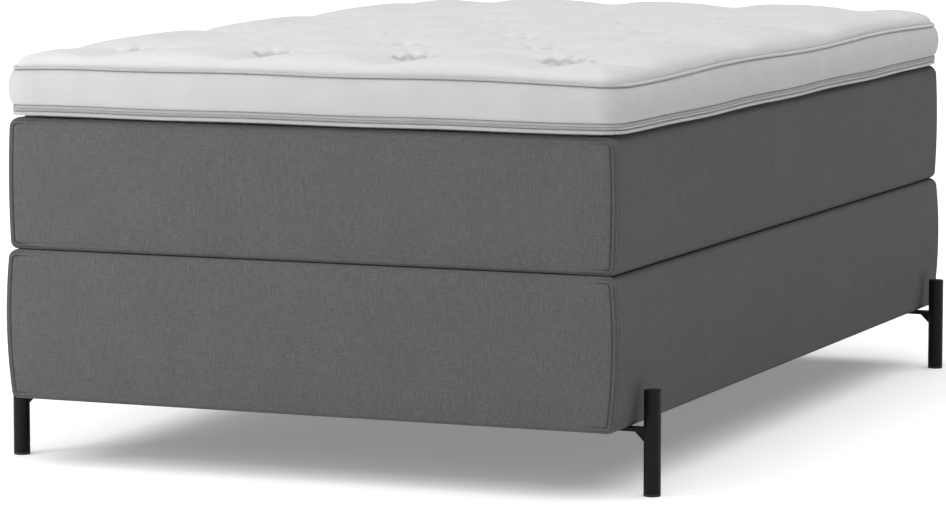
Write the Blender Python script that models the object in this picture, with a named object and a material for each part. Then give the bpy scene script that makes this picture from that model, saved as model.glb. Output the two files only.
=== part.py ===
"""Box spring bed, 120 by 200 cm, in metres with +Z up.

A sprung base stands on four steel legs. A pocket-spring mattress lies loose on
the base, and a tufted topper with a zip-off cover lies loose on the mattress.
The origin is on the floor under the middle of the bed. +Y is the head end.
"""

import math
from dataclasses import dataclass

import bmesh
import bpy
from mathutils import Matrix, Vector
from mathutils.geometry import delaunay_2d_cdt

# Overall sizes of the bed
BED_WIDTH = 1.200
BED_LENGTH = 2.000
UNDER_HEIGHT = 0.1225
BASE_HEIGHT = 0.2780
MATTRESS_HEIGHT = 0.2440

# Clearances and cuts, with the distance below which two points count as one
GAP = 0.0003
SAME_POINT = GAP / 10
OVERRUN = 0.020
LEAST_RADIUS = 0.0020

# Upholstery covers of the base and the mattress
COVER_THICKNESS = 0.0025
COVER_ROLL = 0.0100
SEAM_SINK = 0.0015
SIDE_STEPS = 4
CORNER_STEPS = 4
ROLL_STEPS = 3

# Base block
BASE_TOP_RADIUS = 0.025
BASE_BOTTOM_RADIUS = 0.013
BASE_SWELL = 0.0075
BASE_TUCK = 0.0040
BASE_CROWN = 0.0050
BASE_FLANGE = 0.040
BASE_PADDING = 0.008
BASE_FOAM = 0.034
BASE_FELT = 0.004

# Timber frame inside the base
RAIL_THICKNESS = 0.022
RAIL_HEIGHT = 0.120
RAIL_CHAMFER = 0.0015
BLOCK_SIDE = 0.045
BLOCK_CHAMFER = 0.020
BOARD_WIDTH = 0.090
BOARD_THICKNESS = 0.022
SLAT_COUNT = 5
SLAT_WIDTH = 0.090
SLAT_THICKNESS = 0.012
SLAT_END_SPACE = 0.120
DUST_CLOTH = 0.0012

# Mattress block
MATTRESS_WIDTH_LESS = 0.0040
MATTRESS_LENGTH_LESS = 0.0120
MATTRESS_RADIUS = 0.025
MATTRESS_SWELL = 0.0030
MATTRESS_CROWN = 0.0060
MATTRESS_TOP_FOAM = 0.040
MATTRESS_BOTTOM_FOAM = 0.030
MATTRESS_EDGE_FOAM = 0.060
MATTRESS_FELT = 0.003

# Pocket springs
BASE_COILS_ACROSS = 13
BASE_COILS_ALONG = 23
MATTRESS_COILS_ACROSS = 15
MATTRESS_COILS_ALONG = 27
POCKET_STEPS = 3
POCKET_DEPTH_SHARE = 0.16

# Legs
LEG_DIAMETER = 0.0310
LEG_WALL = 0.0015
LEG_HEIGHT = 0.1910
LEG_OUTSIDE = 0.0306
LEG_FROM_END = 0.1074
LEG_RIM = 0.0016
LEG_RIM_STEPS = 2
LEG_SIDES = 24
GLIDE_FOOT = 0.0050
GLIDE_STEM = 0.0160
GLIDE_ROUND = 0.0015
BRACKET_WIDTH = 0.0290
BRACKET_THICKNESS = 0.0060
BRACKET_REACH = 0.1300
BRACKET_STEPS = 8
GUSSET_LEG = 0.0185
GUSSET_THICKNESS = 0.0050

# Leg bolts, button heads with a hexagon socket
BOLT_DIAMETER = 0.0060
BOLT_HEAD_DIAMETER = 0.0105
BOLT_HEAD_HEIGHT = 0.0033
BOLT_LENGTH = 0.0250
BOLT_SOCKET = 0.0040
BOLT_SOCKET_DEPTH = 0.0020
BOLT_SPACING = 0.0400
BOLT_END_SPACE = 0.0160
BOLT_SIDES = 12
SOCKET_SIDES = 6

# Topper plan and cover
TOPPER_WIDTH_LESS = 0.0140
TOPPER_LENGTH_LESS = 0.0080
TOPPER_CORNER = 0.0380
TOPPER_CORNER_STEPS = 6
PIPING_RADIUS = 0.0028
PIPING_SIDES = 6
RIM_THICKNESS = 0.0022
BOTTOM_CLOTH = 0.0030
UNDERSIDE_ROUND = 0.0200
LOWER_PIPING_RISE = 0.0078
BORDER_HEIGHT = 0.0680
BORDER_SWELL = 0.0085

# Zip round the topper
ZIP_CHAIN_HEIGHT = 0.0042
ZIP_CHAIN_PROUD = 0.0012
ZIP_FLAP_HEIGHT = 0.0060
SLIDER_LENGTH = 0.0100
SLIDER_WALL = 0.0012
SLIDER_PLATE = 0.0015
SLIDER_FROM_CORNER = 0.0550
LUG_LENGTH = 0.0030
LUG_REACH = 0.0028
LUG_HEIGHT = 0.0012
PULL_PIN_RADIUS = 0.0011
PULL_LENGTH = 0.0240
PULL_WIDTH = 0.0052
PULL_THICKNESS = 0.0010
PULL_NECK_SHARE = 0.18
PULL_STEPS = 8

# Tufted top of the topper
QUILT_EDGE = 0.0060
QUILT_CROWN = 0.0250
QUILT_SHOULDER = 0.1500
QUILT_PUFF = 0.0040
QUILT_PUFF_REACH = 0.0900
TUFT_DEPTH = 0.0200
TUFT_REACH = 0.0300
TUFT_FOLDS = 4
TUFT_FOLD_HEIGHT = 0.0022
TUFT_ROWS = 7
TUFTS_IN_LONG_ROW = 4
TUFT_ROW_SPACING = 0.2600
TUFT_COLUMN_SPACING = 0.2667
EDGE_SPACING = 0.1000
FILL_SPACING = 0.1000
FILL_CLEARANCE = 0.0280

# Shapes of curves, which have no unit, and the angles below which faces shade as one
SOFT_ANGLE = 40
QUILT_ANGLE = 60
SHOULDER_POWER = 3
TUFT_POWER = 1.2
BORDER_POWER = 0.7
FOLD_FADE = 2

# Rings round a tuft: share of its reach, and points in the ring
TUFT_RING_SHARES = ((0.2, 6), (0.6, 8), (1.4, 10))

# Rings inside the quilt's edge: share of its shoulder, and share of the spacing added
EDGE_RING_SHARES = ((0.0, 0.0), (0.08, 0.0), (0.27, 0.1), (0.57, 0.2))

# Heights of the border's section, as shares of its height
BORDER_SHARES = (0.0, 0.12, 0.32, 0.60, 0.86, 1.0)

# Rings of an end panel, from its seam inwards: share of its depth, and share of its crown
CROWN_RING_SHARES = ((0.0, 0.0), (0.14, 0.60), (0.45, 1.0))

# Dome of a bolt's head: share of its radius, and share of its height above the rim
BOLT_DOME_SHARES = ((0.62, 1.0), (0.90, 0.55))

# Colours, roughness and metallic value of each material
FINISHES = {
    "grey_fabric": ((0.125, 0.127, 0.130), 0.90, 0.0),
    "topper_cloth": ((0.800, 0.805, 0.810), 0.85, 0.0),
    "border_cloth": ((0.640, 0.650, 0.650), 0.85, 0.0),
    "piping_cloth": ((0.700, 0.705, 0.705), 0.80, 0.0),
    "zip_tape": ((0.420, 0.425, 0.430), 0.75, 0.0),
    "zip_metal": ((0.550, 0.550, 0.560), 0.35, 1.0),
    "white_foam": ((0.860, 0.850, 0.800), 0.95, 0.0),
    "blue_foam": ((0.520, 0.640, 0.720), 0.95, 0.0),
    "felt": ((0.450, 0.440, 0.420), 1.00, 0.0),
    "pocket_cloth": ((0.780, 0.790, 0.790), 0.95, 0.0),
    "pine": ((0.640, 0.480, 0.300), 0.65, 0.0),
    "dust_cloth": ((0.050, 0.050, 0.052), 0.95, 0.0),
    "black_steel": ((0.012, 0.012, 0.013), 0.42, 0.6),
    "black_plastic": ((0.020, 0.020, 0.020), 0.50, 0.0),
    "zinc_steel": ((0.560, 0.570, 0.580), 0.38, 1.0),
}


@dataclass(frozen=True)
class Block:
    """A covered block: its size, and how its sides and ends are rounded and swollen."""

    width: float
    length: float
    bottom: float
    height: float
    bottom_radius: float
    top_radius: float
    swell: float
    tuck: float
    crown: float

    @property
    def top(self):
        return self.bottom + self.height

    @property
    def fill_bottom(self):
        return self.bottom + COVER_THICKNESS + GAP

    @property
    def fill_top(self):
        return self.top - COVER_THICKNESS - GAP


BASE = Block(
    width=BED_WIDTH,
    length=BED_LENGTH,
    bottom=UNDER_HEIGHT,
    height=BASE_HEIGHT,
    bottom_radius=BASE_BOTTOM_RADIUS,
    top_radius=BASE_TOP_RADIUS,
    swell=BASE_SWELL,
    tuck=BASE_TUCK,
    crown=BASE_CROWN,
)
MATTRESS = Block(
    width=BED_WIDTH - MATTRESS_WIDTH_LESS,
    length=BED_LENGTH - MATTRESS_LENGTH_LESS,
    bottom=BASE.top + GAP,
    height=MATTRESS_HEIGHT,
    bottom_radius=MATTRESS_RADIUS,
    top_radius=MATTRESS_RADIUS,
    swell=MATTRESS_SWELL,
    tuck=0.0,
    crown=MATTRESS_CROWN,
)

# Timber frame, worked out from the base
FRAME_HALF_WIDTH = BASE.width / 2 - BASE.tuck - COVER_THICKNESS - GAP - BASE_PADDING
FRAME_HALF_LENGTH = BASE.length / 2 - COVER_THICKNESS - GAP - BASE_PADDING
FRAME_BOTTOM = BASE.fill_bottom
RAIL_TOP = FRAME_BOTTOM + RAIL_HEIGHT
SLAT_TOP = RAIL_TOP + GAP + SLAT_THICKNESS
BASE_FELT_TOP = SLAT_TOP + GAP + BASE_FELT
BASE_SPRING_TOP = BASE.fill_top - BASE_FOAM - GAP

# Mattress layers, worked out from its height
CORE_BOTTOM = MATTRESS.fill_bottom + MATTRESS_BOTTOM_FOAM
CORE_TOP = MATTRESS.fill_top - MATTRESS_TOP_FOAM
CORE_HALF_WIDTH = MATTRESS.width / 2 - COVER_THICKNESS - GAP - MATTRESS_EDGE_FOAM
CORE_HALF_LENGTH = MATTRESS.length / 2 - COVER_THICKNESS - GAP - MATTRESS_EDGE_FOAM

# Leg places and heights, worked out from the base
LEG_RADIUS = LEG_DIAMETER / 2
LEG_X = BED_WIDTH / 2 + LEG_OUTSIDE
LEG_Y = BED_LENGTH / 2 - LEG_FROM_END
BRACKET_TOP = UNDER_HEIGHT - GAP
BRACKET_BOTTOM = BRACKET_TOP - BRACKET_THICKNESS
BRACKET_INNER_END = LEG_X - LEG_RADIUS - BRACKET_REACH
BOLT_PLACES = (
    BRACKET_INNER_END + BOLT_END_SPACE,
    BRACKET_INNER_END + BOLT_END_SPACE + BOLT_SPACING,
)
BOLT_HOLE_RADIUS = BOLT_DIAMETER / 2 + GAP
BOLT_SEAT = BRACKET_BOTTOM - GAP
SOCKET_RADIUS = BOLT_SOCKET / 2 / math.cos(math.pi / SOCKET_SIDES)

# Topper heights, from the mattress up
TOPPER_HALF_WIDTH = (BED_WIDTH - TOPPER_WIDTH_LESS) / 2
TOPPER_HALF_LENGTH = (BED_LENGTH - TOPPER_LENGTH_LESS) / 2
TOPPER_BOTTOM = MATTRESS.top + GAP
LOWER_PIPING_Z = TOPPER_BOTTOM + LOWER_PIPING_RISE
CHAIN_LOW = LOWER_PIPING_Z + PIPING_RADIUS + SLIDER_WALL + 2 * GAP
CHAIN_HIGH = CHAIN_LOW + ZIP_CHAIN_HEIGHT
CHAIN_MIDDLE = (CHAIN_LOW + CHAIN_HIGH) / 2
FLAP_LOW = CHAIN_HIGH + GAP
FLAP_HIGH = FLAP_LOW + ZIP_FLAP_HEIGHT
BORDER_LOW = FLAP_HIGH + GAP
BORDER_HIGH = BORDER_LOW + BORDER_HEIGHT
UPPER_PIPING_Z = BORDER_HIGH + GAP + PIPING_RADIUS
QUILT_LOW = BORDER_HIGH + GAP
BEHIND_PIPING = -(PIPING_RADIUS + GAP)
INNER_LINE = BEHIND_PIPING - RIM_THICKNESS

# Tray of the topper's underside cloth
FLAT_LINE = BEHIND_PIPING - UNDERSIDE_ROUND
TRAY_FLOOR = TOPPER_BOTTOM + BOTTOM_CLOTH
TRAY_KNEE = LOWER_PIPING_Z - PIPING_RADIUS + BOTTOM_CLOTH / 2

# Zip slider, worked out from the chain
SLIDER_INNER_HALF = ZIP_CHAIN_HEIGHT / 2 + GAP
SLIDER_HALF = SLIDER_INNER_HALF + SLIDER_WALL
SLIDER_FACE = ZIP_CHAIN_PROUD + GAP
SLIDER_FRONT = SLIDER_FACE + SLIDER_PLATE
SLIDER_PARKED = TOPPER_HALF_WIDTH - TOPPER_CORNER - SLIDER_FROM_CORNER
PULL_AXIS = SLIDER_FRONT + PULL_PIN_RADIUS + 2 * GAP
PULL_PIN_HALF = SLIDER_HALF - LUG_HEIGHT - GAP


def clear_scene():
    """Removes whatever the scene holds."""
    for old in list(bpy.data.objects):
        bpy.data.objects.remove(old, do_unlink=True)


def make_materials():
    """Makes one Principled material for each finish."""
    made = {}
    for name, (colour, roughness, metallic) in FINISHES.items():
        material = bpy.data.materials.new(name)
        material.use_nodes = True
        shader = material.node_tree.nodes["Principled BSDF"]
        shader.inputs["Base Color"].default_value = (*colour, 1.0)
        shader.inputs["Roughness"].default_value = roughness
        shader.inputs["Metallic"].default_value = metallic
        material.diffuse_color = (*colour, 1.0)
        made[name] = material
    return made


def own_material(name, finish):
    """Copies a finish, so that each sub-part has a material of its own."""
    material = MATERIALS[finish].copy()
    material.name = f"{name}_{finish}"
    return material


def mesh_from(bm, name, smooth_angle=None):
    """Turns a bmesh into mesh data with its faces pointing out."""
    bmesh.ops.recalc_face_normals(bm, faces=bm.faces)
    mesh = bpy.data.meshes.new(name)
    bm.to_mesh(mesh)
    bm.free()
    if smooth_angle is not None:
        mesh.shade_smooth()
        mesh.set_sharp_from_angle(angle=math.radians(smooth_angle))
    return mesh


def add_piece(name, mesh, finish, parent=None, location=(0, 0, 0), turn=0.0):
    """Adds one sub-part at its place, with its own material, under its parent empty."""
    piece = bpy.data.objects.new(name, mesh)
    bpy.context.scene.collection.objects.link(piece)
    material = own_material(name, finish)
    if not mesh.materials:
        mesh.materials.append(None)
    piece.material_slots[0].link = "OBJECT"
    piece.material_slots[0].material = material
    piece.location = location
    piece.rotation_euler = (0, 0, turn)
    if parent is not None:
        piece.parent = parent
        piece.matrix_parent_inverse = Matrix.Translation(parent.location).inverted()
    return piece


def add_empty(name, location, parent=None):
    """Adds an empty on a joint's axis, which carries the pieces that move with it."""
    empty = bpy.data.objects.new(name, None)
    bpy.context.scene.collection.objects.link(empty)
    empty.location = location
    if parent is not None:
        empty.parent = parent
        empty.matrix_parent_inverse = Matrix.Translation(parent.location).inverted()
    return empty


def add_cutter(name, mesh, location=(0, 0, 0), turn=0.0):
    """Adds a shape that only cuts others."""
    cutter = bpy.data.objects.new(name, mesh)
    bpy.context.scene.collection.objects.link(cutter)
    cutter.location = location
    cutter.rotation_euler = (0, 0, turn)
    cutter.hide_render = True
    cutter.display_type = "WIRE"
    return cutter


def apply_cut(piece, cutter, operation="DIFFERENCE"):
    """Cuts a piece with a cutter, or keeps only what lies inside it."""
    cut = piece.modifiers.new(cutter.name, "BOOLEAN")
    cut.operation = operation
    cut.solver = "EXACT"
    cut.object = cutter


def add_chamfer(piece, width):
    """Takes the sharp edges off a piece of timber."""
    chamfer = piece.modifiers.new("chamfer", "BEVEL")
    chamfer.width = width
    chamfer.segments = 1


def box_mesh(name, low, high):
    """A box between two corners."""
    bm = bmesh.new()
    bmesh.ops.create_cube(bm, size=1.0)
    size = Vector(high) - Vector(low)
    middle = (Vector(high) + Vector(low)) / 2
    bmesh.ops.scale(bm, vec=size, verts=bm.verts)
    bmesh.ops.translate(bm, vec=middle, verts=bm.verts)
    return mesh_from(bm, name)


def rod_mesh(name, radius, low, high, sides):
    """An upright rod, also used to cut round holes."""
    bm = bmesh.new()
    bmesh.ops.create_cone(
        bm, cap_ends=True, segments=sides, radius1=radius, radius2=radius, depth=high - low
    )
    bmesh.ops.translate(bm, vec=(0, 0, (low + high) / 2), verts=bm.verts)
    return mesh_from(bm, name)


def spread(start, end, steps):
    """Evenly spaced values from start to end, both included."""
    return [start + (end - start) * i / steps for i in range(steps + 1)]


def arc(centre, radius, start, end, steps):
    """Points round an arc, with its angles in degrees."""
    points = []
    for angle in spread(math.radians(start), math.radians(end), steps):
        points.append((centre[0] + radius * math.cos(angle), centre[1] + radius * math.sin(angle)))
    return points


def ring_verts(bm, points):
    """Adds one vertex for each point."""
    return [bm.verts.new(point) for point in points]


def bridge(bm, first, second):
    """Joins two rings of as many points with quads."""
    count = len(first)
    for i in range(count):
        j = (i + 1) % count
        bm.faces.new((first[i], first[j], second[j], second[i]))


def loft(name, rings, closed, smooth_angle=SOFT_ANGLE):
    """Joins rings in turn. A closed loft joins the last ring to the first, an open one is capped."""
    bm = bmesh.new()
    loops = [ring_verts(bm, ring) for ring in rings]
    for first, second in zip(loops, loops[1:]):
        bridge(bm, first, second)
    if closed:
        bridge(bm, loops[-1], loops[0])
    else:
        bm.faces.new(loops[0])
        bm.faces.new(loops[-1])
    return mesh_from(bm, name, smooth_angle)


def turned(name, profile, sides, smooth_angle=SOFT_ANGLE):
    """Spins a profile of radius and height points round the Z axis."""
    bm = bmesh.new()
    verts = ring_verts(bm, [(radius, 0, z) for radius, z in profile])
    edges = [bm.edges.new(pair) for pair in zip(verts, verts[1:])]
    bmesh.ops.spin(
        bm,
        geom=verts + edges,
        cent=(0, 0, 0),
        axis=(0, 0, 1),
        angle=2 * math.pi,
        steps=sides,
        use_merge=True,
    )
    bmesh.ops.remove_doubles(bm, verts=bm.verts, dist=SAME_POINT)
    return mesh_from(bm, name, smooth_angle)


def prism(name, outline, low, high, smooth_angle=SOFT_ANGLE):
    """A flat outline in X and Y, raised from low to high."""
    rings = [[(x, y, low) for x, y in outline], [(x, y, high) for x, y in outline]]
    return loft(name, rings, closed=False, smooth_angle=smooth_angle)


# Covered blocks: the base and the mattress


def block_section(block, inset):
    """The block's outline in X and Z, drawn in all round by inset."""
    half_high = block.width / 2 - inset
    half_low = half_high - block.tuck
    low = block.bottom + inset
    high = block.top - inset
    low_radius = max(block.bottom_radius - inset, LEAST_RADIUS)
    high_radius = max(block.top_radius - inset, LEAST_RADIUS)
    right = arc((half_low - low_radius, low + low_radius), low_radius, -90, 0, CORNER_STEPS)
    side_low = low + low_radius
    side_high = high - high_radius
    for share in spread(0, 1, SIDE_STEPS)[1:-1]:
        x = half_low + (half_high - half_low) * share + block.swell * 4 * share * (1 - share)
        right.append((x, side_low + (side_high - side_low) * share))
    right += arc((half_high - high_radius, high - high_radius), high_radius, 0, 90, CORNER_STEPS)
    left = [(-x, z) for x, z in reversed(right)]
    return right + left


def block_ring(block, y, inset):
    """The block's outline as a ring at one place along its length."""
    return [(x, y, z) for x, z in block_section(block, inset)]


def both_ends(stations):
    """Repeats stations of place and inset, given from the middle to the head end, for both ends."""
    return [(-y, inset) for y, inset in reversed(stations)] + stations


def cover_wrap(name, block):
    """The strip of cloth round the sides, top and bottom, rolled in at both ends to its seam."""
    half = block.length / 2
    outside = []
    for angle in spread(0, math.pi / 2, ROLL_STEPS):
        y = half - COVER_ROLL * (1 - math.sin(angle))
        outside.append((y, COVER_ROLL * (1 - math.cos(angle))))
    inside = [(half - COVER_ROLL, COVER_THICKNESS), (half - COVER_THICKNESS, COVER_ROLL)]
    stations = both_ends(outside) + list(reversed(both_ends(inside)))
    return loft(name, [block_ring(block, y, inset) for y, inset in stations], closed=True)


def crown_stations(block, seam_y):
    """Places and insets of a crowned end, from its seam to its flat middle."""
    depth = block.height / 2
    edge = COVER_ROLL + GAP
    stations = []
    for inset_share, crown_share in CROWN_RING_SHARES:
        inset = edge + (depth - edge) * inset_share
        stations.append((seam_y + block.crown * crown_share, inset))
    return stations


def end_panel(name, block):
    """The crowned panel sewn into one end of a cover, facing +Y, with the cover's end at Y zero."""
    front = crown_stations(block, -SEAM_SINK)
    back = crown_stations(block, -COVER_THICKNESS)
    stations = list(reversed(back)) + front
    return loft(name, [block_ring(block, y, inset) for y, inset in stations], closed=False)


def block_fill(name, block):
    """The space inside a cover, which its foam fills."""
    end = block.length / 2 - COVER_THICKNESS - GAP
    stations = [(block.length / 2 - COVER_ROLL - GAP, COVER_THICKNESS + GAP)]
    stations += crown_stations(block, end)
    rings = [block_ring(block, y, inset) for y, inset in both_ends(stations)]
    return loft(name, rings, closed=False)


def scalloped_outline(half_width, half_length, across, along):
    """The outline of a pack of pocket springs: one round pocket after another on each side."""
    depth = POCKET_DEPTH_SHARE * 2 * half_width / across
    x = half_width - depth
    y = half_length - depth
    corners = [Vector((-x, -y)), Vector((x, -y)), Vector((x, y)), Vector((-x, y))]
    outwards = [Vector((0, -1)), Vector((1, 0)), Vector((0, 1)), Vector((-1, 0))]
    crest = max(math.sin(math.pi * step / POCKET_STEPS) for step in range(POCKET_STEPS))
    outline = []
    for number, count in enumerate((across, along, across, along)):
        start = corners[number]
        end = corners[(number + 1) % len(corners)]
        for step in range(count * POCKET_STEPS):
            share = step / (count * POCKET_STEPS)
            bulge = depth * abs(math.sin(math.pi * share * count)) / crest
            point = start.lerp(end, share) + outwards[number] * bulge
            outline.append((point.x, point.y))
    return outline


def build_cover(prefix, block, parent):
    """The cloth strip and the two end panels of one block."""
    name = f"{prefix}_cover_wrap"
    wrap = add_piece(name, cover_wrap(name, block), "grey_fabric", parent)
    panel = end_panel(f"{prefix}_end_panel", block)
    half = block.length / 2
    add_piece(f"{prefix}_end_panel_head", panel, "grey_fabric", parent, (0, half, 0))
    add_piece(f"{prefix}_end_panel_foot", panel, "grey_fabric", parent, (0, -half, 0), math.pi)
    return wrap


def layer_cutter(name, half_width, half_length, low, high):
    """A box cutter centred on the bed."""
    mesh = box_mesh(name, (-half_width, -half_length, low), (half_width, half_length, high))
    return add_cutter(name, mesh)


def build_mattress(parent):
    """Cover, foam layers, foam edge, felts and pocket springs of the mattress."""
    build_cover("mattress", MATTRESS, parent)
    fill = block_fill("mattress_fill", MATTRESS)
    reach_x = BED_WIDTH
    reach_y = BED_LENGTH

    above = layer_cutter("above_core", reach_x, reach_y, CORE_TOP + GAP, MATTRESS.top + OVERRUN)
    top_foam = add_piece("mattress_top_foam", fill, "blue_foam", parent)
    apply_cut(top_foam, above, "INTERSECT")

    below = layer_cutter("below_core", reach_x, reach_y, MATTRESS.bottom - OVERRUN, CORE_BOTTOM - GAP)
    bottom_foam = add_piece("mattress_bottom_foam", fill, "blue_foam", parent)
    apply_cut(bottom_foam, below, "INTERSECT")

    level = layer_cutter("core_level", reach_x, reach_y, CORE_BOTTOM, CORE_TOP)
    well = layer_cutter(
        "core_well",
        CORE_HALF_WIDTH + GAP,
        CORE_HALF_LENGTH + GAP,
        CORE_BOTTOM - OVERRUN,
        CORE_TOP + OVERRUN,
    )
    edge = add_piece("mattress_edge_foam", fill, "white_foam", parent)
    apply_cut(edge, level, "INTERSECT")
    apply_cut(edge, well)

    felt_low = CORE_TOP - MATTRESS_FELT
    felt = box_mesh(
        "mattress_felt",
        (-CORE_HALF_WIDTH, -CORE_HALF_LENGTH, felt_low),
        (CORE_HALF_WIDTH, CORE_HALF_LENGTH, CORE_TOP),
    )
    add_piece("mattress_spring_felt", felt, "felt", parent)
    outline = scalloped_outline(
        CORE_HALF_WIDTH, CORE_HALF_LENGTH, MATTRESS_COILS_ACROSS, MATTRESS_COILS_ALONG
    )
    springs = prism("mattress_pocket_springs", outline, CORE_BOTTOM, felt_low - GAP)
    add_piece("mattress_pocket_springs", springs, "pocket_cloth", parent)


def build_base():
    """Cover, padding, springs and timber frame of the base."""
    wrap = build_cover("base", BASE, None)
    opening_x = BASE.width / 2 - BASE.tuck - BASE_FLANGE
    opening_y = BASE.length / 2 - BASE_FLANGE
    underside = layer_cutter(
        "underside_opening", opening_x, opening_y, BASE.bottom - OVERRUN, BASE.bottom + OVERRUN / 2
    )
    apply_cut(wrap, underside)

    padding = add_piece("base_foam_padding", block_fill("base_fill", BASE), "white_foam")
    hollow = layer_cutter(
        "base_hollow",
        FRAME_HALF_WIDTH + GAP,
        FRAME_HALF_LENGTH + GAP,
        BASE.bottom - OVERRUN,
        BASE_SPRING_TOP + GAP,
    )
    apply_cut(padding, hollow)

    outline = scalloped_outline(
        FRAME_HALF_WIDTH, FRAME_HALF_LENGTH, BASE_COILS_ACROSS, BASE_COILS_ALONG
    )
    springs = prism("base_pocket_springs", outline, BASE_FELT_TOP + GAP, BASE_SPRING_TOP)
    add_piece("base_pocket_springs", springs, "pocket_cloth")
    felt = box_mesh(
        "base_spring_felt",
        (-FRAME_HALF_WIDTH, -FRAME_HALF_LENGTH, SLAT_TOP + GAP),
        (FRAME_HALF_WIDTH, FRAME_HALF_LENGTH, BASE_FELT_TOP),
    )
    add_piece("base_spring_felt", felt, "felt")
    build_frame()
    build_dust_cover(opening_x, opening_y)


def build_frame():
    """Side and end rails, corner blocks, leg boards and slats."""
    side = box_mesh(
        "side_rail",
        (-RAIL_THICKNESS / 2, -FRAME_HALF_LENGTH, FRAME_BOTTOM),
        (RAIL_THICKNESS / 2, FRAME_HALF_LENGTH, RAIL_TOP),
    )
    side_x = FRAME_HALF_WIDTH - RAIL_THICKNESS / 2
    inner_x = FRAME_HALF_WIDTH - RAIL_THICKNESS - GAP
    inner_y = FRAME_HALF_LENGTH - RAIL_THICKNESS - GAP
    end = box_mesh(
        "end_rail",
        (-inner_x, -RAIL_THICKNESS / 2, FRAME_BOTTOM),
        (inner_x, RAIL_THICKNESS / 2, RAIL_TOP),
    )
    end_y = FRAME_HALF_LENGTH - RAIL_THICKNESS / 2
    for name, sign in (("left", -1), ("right", 1)):
        rail = add_piece(f"side_rail_{name}", side, "pine", None, (sign * side_x, 0, 0))
        add_chamfer(rail, RAIL_CHAMFER)
    for name, sign in (("foot", -1), ("head", 1)):
        rail = add_piece(f"end_rail_{name}", end, "pine", None, (0, sign * end_y, 0))
        add_chamfer(rail, RAIL_CHAMFER)
    build_corner_blocks(inner_x, inner_y)
    build_leg_boards(inner_x)
    build_slats()


def build_corner_blocks(inner_x, inner_y):
    """A glue block in each corner of the frame, above the leg boards."""
    outline = [
        (0, 0),
        (-BLOCK_SIDE, 0),
        (-BLOCK_SIDE, -(BLOCK_SIDE - BLOCK_CHAMFER)),
        (-(BLOCK_SIDE - BLOCK_CHAMFER), -BLOCK_SIDE),
        (0, -BLOCK_SIDE),
    ]
    low = FRAME_BOTTOM + BOARD_THICKNESS + GAP
    block = prism("corner_block", outline, low, RAIL_TOP, smooth_angle=None)
    turns = {("right", "head"): 0, ("left", "head"): 1, ("left", "foot"): 2, ("right", "foot"): 3}
    for (side, end), quarter in turns.items():
        x = inner_x if side == "right" else -inner_x
        y = inner_y if end == "head" else -inner_y
        add_piece(f"corner_block_{end}_{side}", block, "pine", None, (x, y, 0), quarter * math.pi / 2)


def build_leg_boards(inner_x):
    """A board across the frame over each pair of legs, drilled for the leg bolts."""
    board = box_mesh(
        "leg_board",
        (-inner_x, -BOARD_WIDTH / 2, FRAME_BOTTOM),
        (inner_x, BOARD_WIDTH / 2, FRAME_BOTTOM + BOARD_THICKNESS),
    )
    for name, sign in (("foot", -1), ("head", 1)):
        piece = add_piece(f"leg_board_{name}", board, "pine", None, (0, sign * LEG_Y, 0))
        drill_bolt_holes(piece, f"{name}_board", (sign,))


def drill_bolt_holes(piece, prefix, ends):
    """Cuts the holes for the leg bolts that pass through a piece."""
    high = FRAME_BOTTOM + BOARD_THICKNESS + OVERRUN
    drill = rod_mesh(f"{prefix}_drill", BOLT_HOLE_RADIUS, UNDER_HEIGHT - OVERRUN, high, BOLT_SIDES)
    for end in ends:
        for side in (-1, 1):
            for number, x in enumerate(BOLT_PLACES):
                name = f"{prefix}_drill_{end}_{side}_{number}"
                apply_cut(piece, add_cutter(name, drill, (side * x, end * LEG_Y, 0)))


def build_slats():
    """The slats that carry the springs, laid across the rails."""
    slat = box_mesh(
        "slat",
        (-FRAME_HALF_WIDTH, -SLAT_WIDTH / 2, RAIL_TOP + GAP),
        (FRAME_HALF_WIDTH, SLAT_WIDTH / 2, SLAT_TOP),
    )
    reach = FRAME_HALF_LENGTH - SLAT_END_SPACE
    for number, y in enumerate(spread(-reach, reach, SLAT_COUNT - 1), start=1):
        piece = add_piece(f"slat_{number}", slat, "pine", None, (0, y, 0))
        add_chamfer(piece, RAIL_CHAMFER)


def build_dust_cover(opening_x, opening_y):
    """The thin cloth that closes the underside, inside the cover's turned-in edge."""
    half_x = opening_x - GAP
    half_y = opening_y - GAP
    top = FRAME_BOTTOM - GAP
    cloth = box_mesh("dust_cover", (-half_x, -half_y, top - DUST_CLOTH), (half_x, half_y, top))
    piece = add_piece("dust_cover", cloth, "dust_cloth")
    drill_bolt_holes(piece, "dust_cover", (-1, 1))


# Legs


def leg_tube_mesh():
    """A round tube with a closed, rounded top and an open foot."""
    inner = LEG_RADIUS - LEG_WALL
    profile = [(inner, GLIDE_FOOT + GAP), (LEG_RADIUS, GLIDE_FOOT + GAP)]
    rim_centre = (LEG_RADIUS - LEG_RIM, LEG_HEIGHT - LEG_RIM)
    profile += arc(rim_centre, LEG_RIM, 0, 90, LEG_RIM_STEPS)
    profile += [(0, LEG_HEIGHT), (0, LEG_HEIGHT - LEG_WALL), (inner, LEG_HEIGHT - LEG_WALL)]
    profile.append(profile[0])
    return turned("leg_tube", profile, LEG_SIDES)


def leg_glide_mesh():
    """A plastic foot as wide as the tube, with a stem that plugs into it."""
    stem = LEG_RADIUS - LEG_WALL - GAP
    profile = [(0, 0), (LEG_RADIUS - GLIDE_ROUND, 0)]
    profile += arc((LEG_RADIUS - GLIDE_ROUND, GLIDE_ROUND), GLIDE_ROUND, -45, 0, 1)
    profile += [(LEG_RADIUS, GLIDE_FOOT), (stem, GLIDE_FOOT), (stem, GLIDE_FOOT + GLIDE_STEM)]
    profile.append((0, GLIDE_FOOT + GLIDE_STEM))
    return turned("leg_glide", profile, LEG_SIDES)


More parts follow.
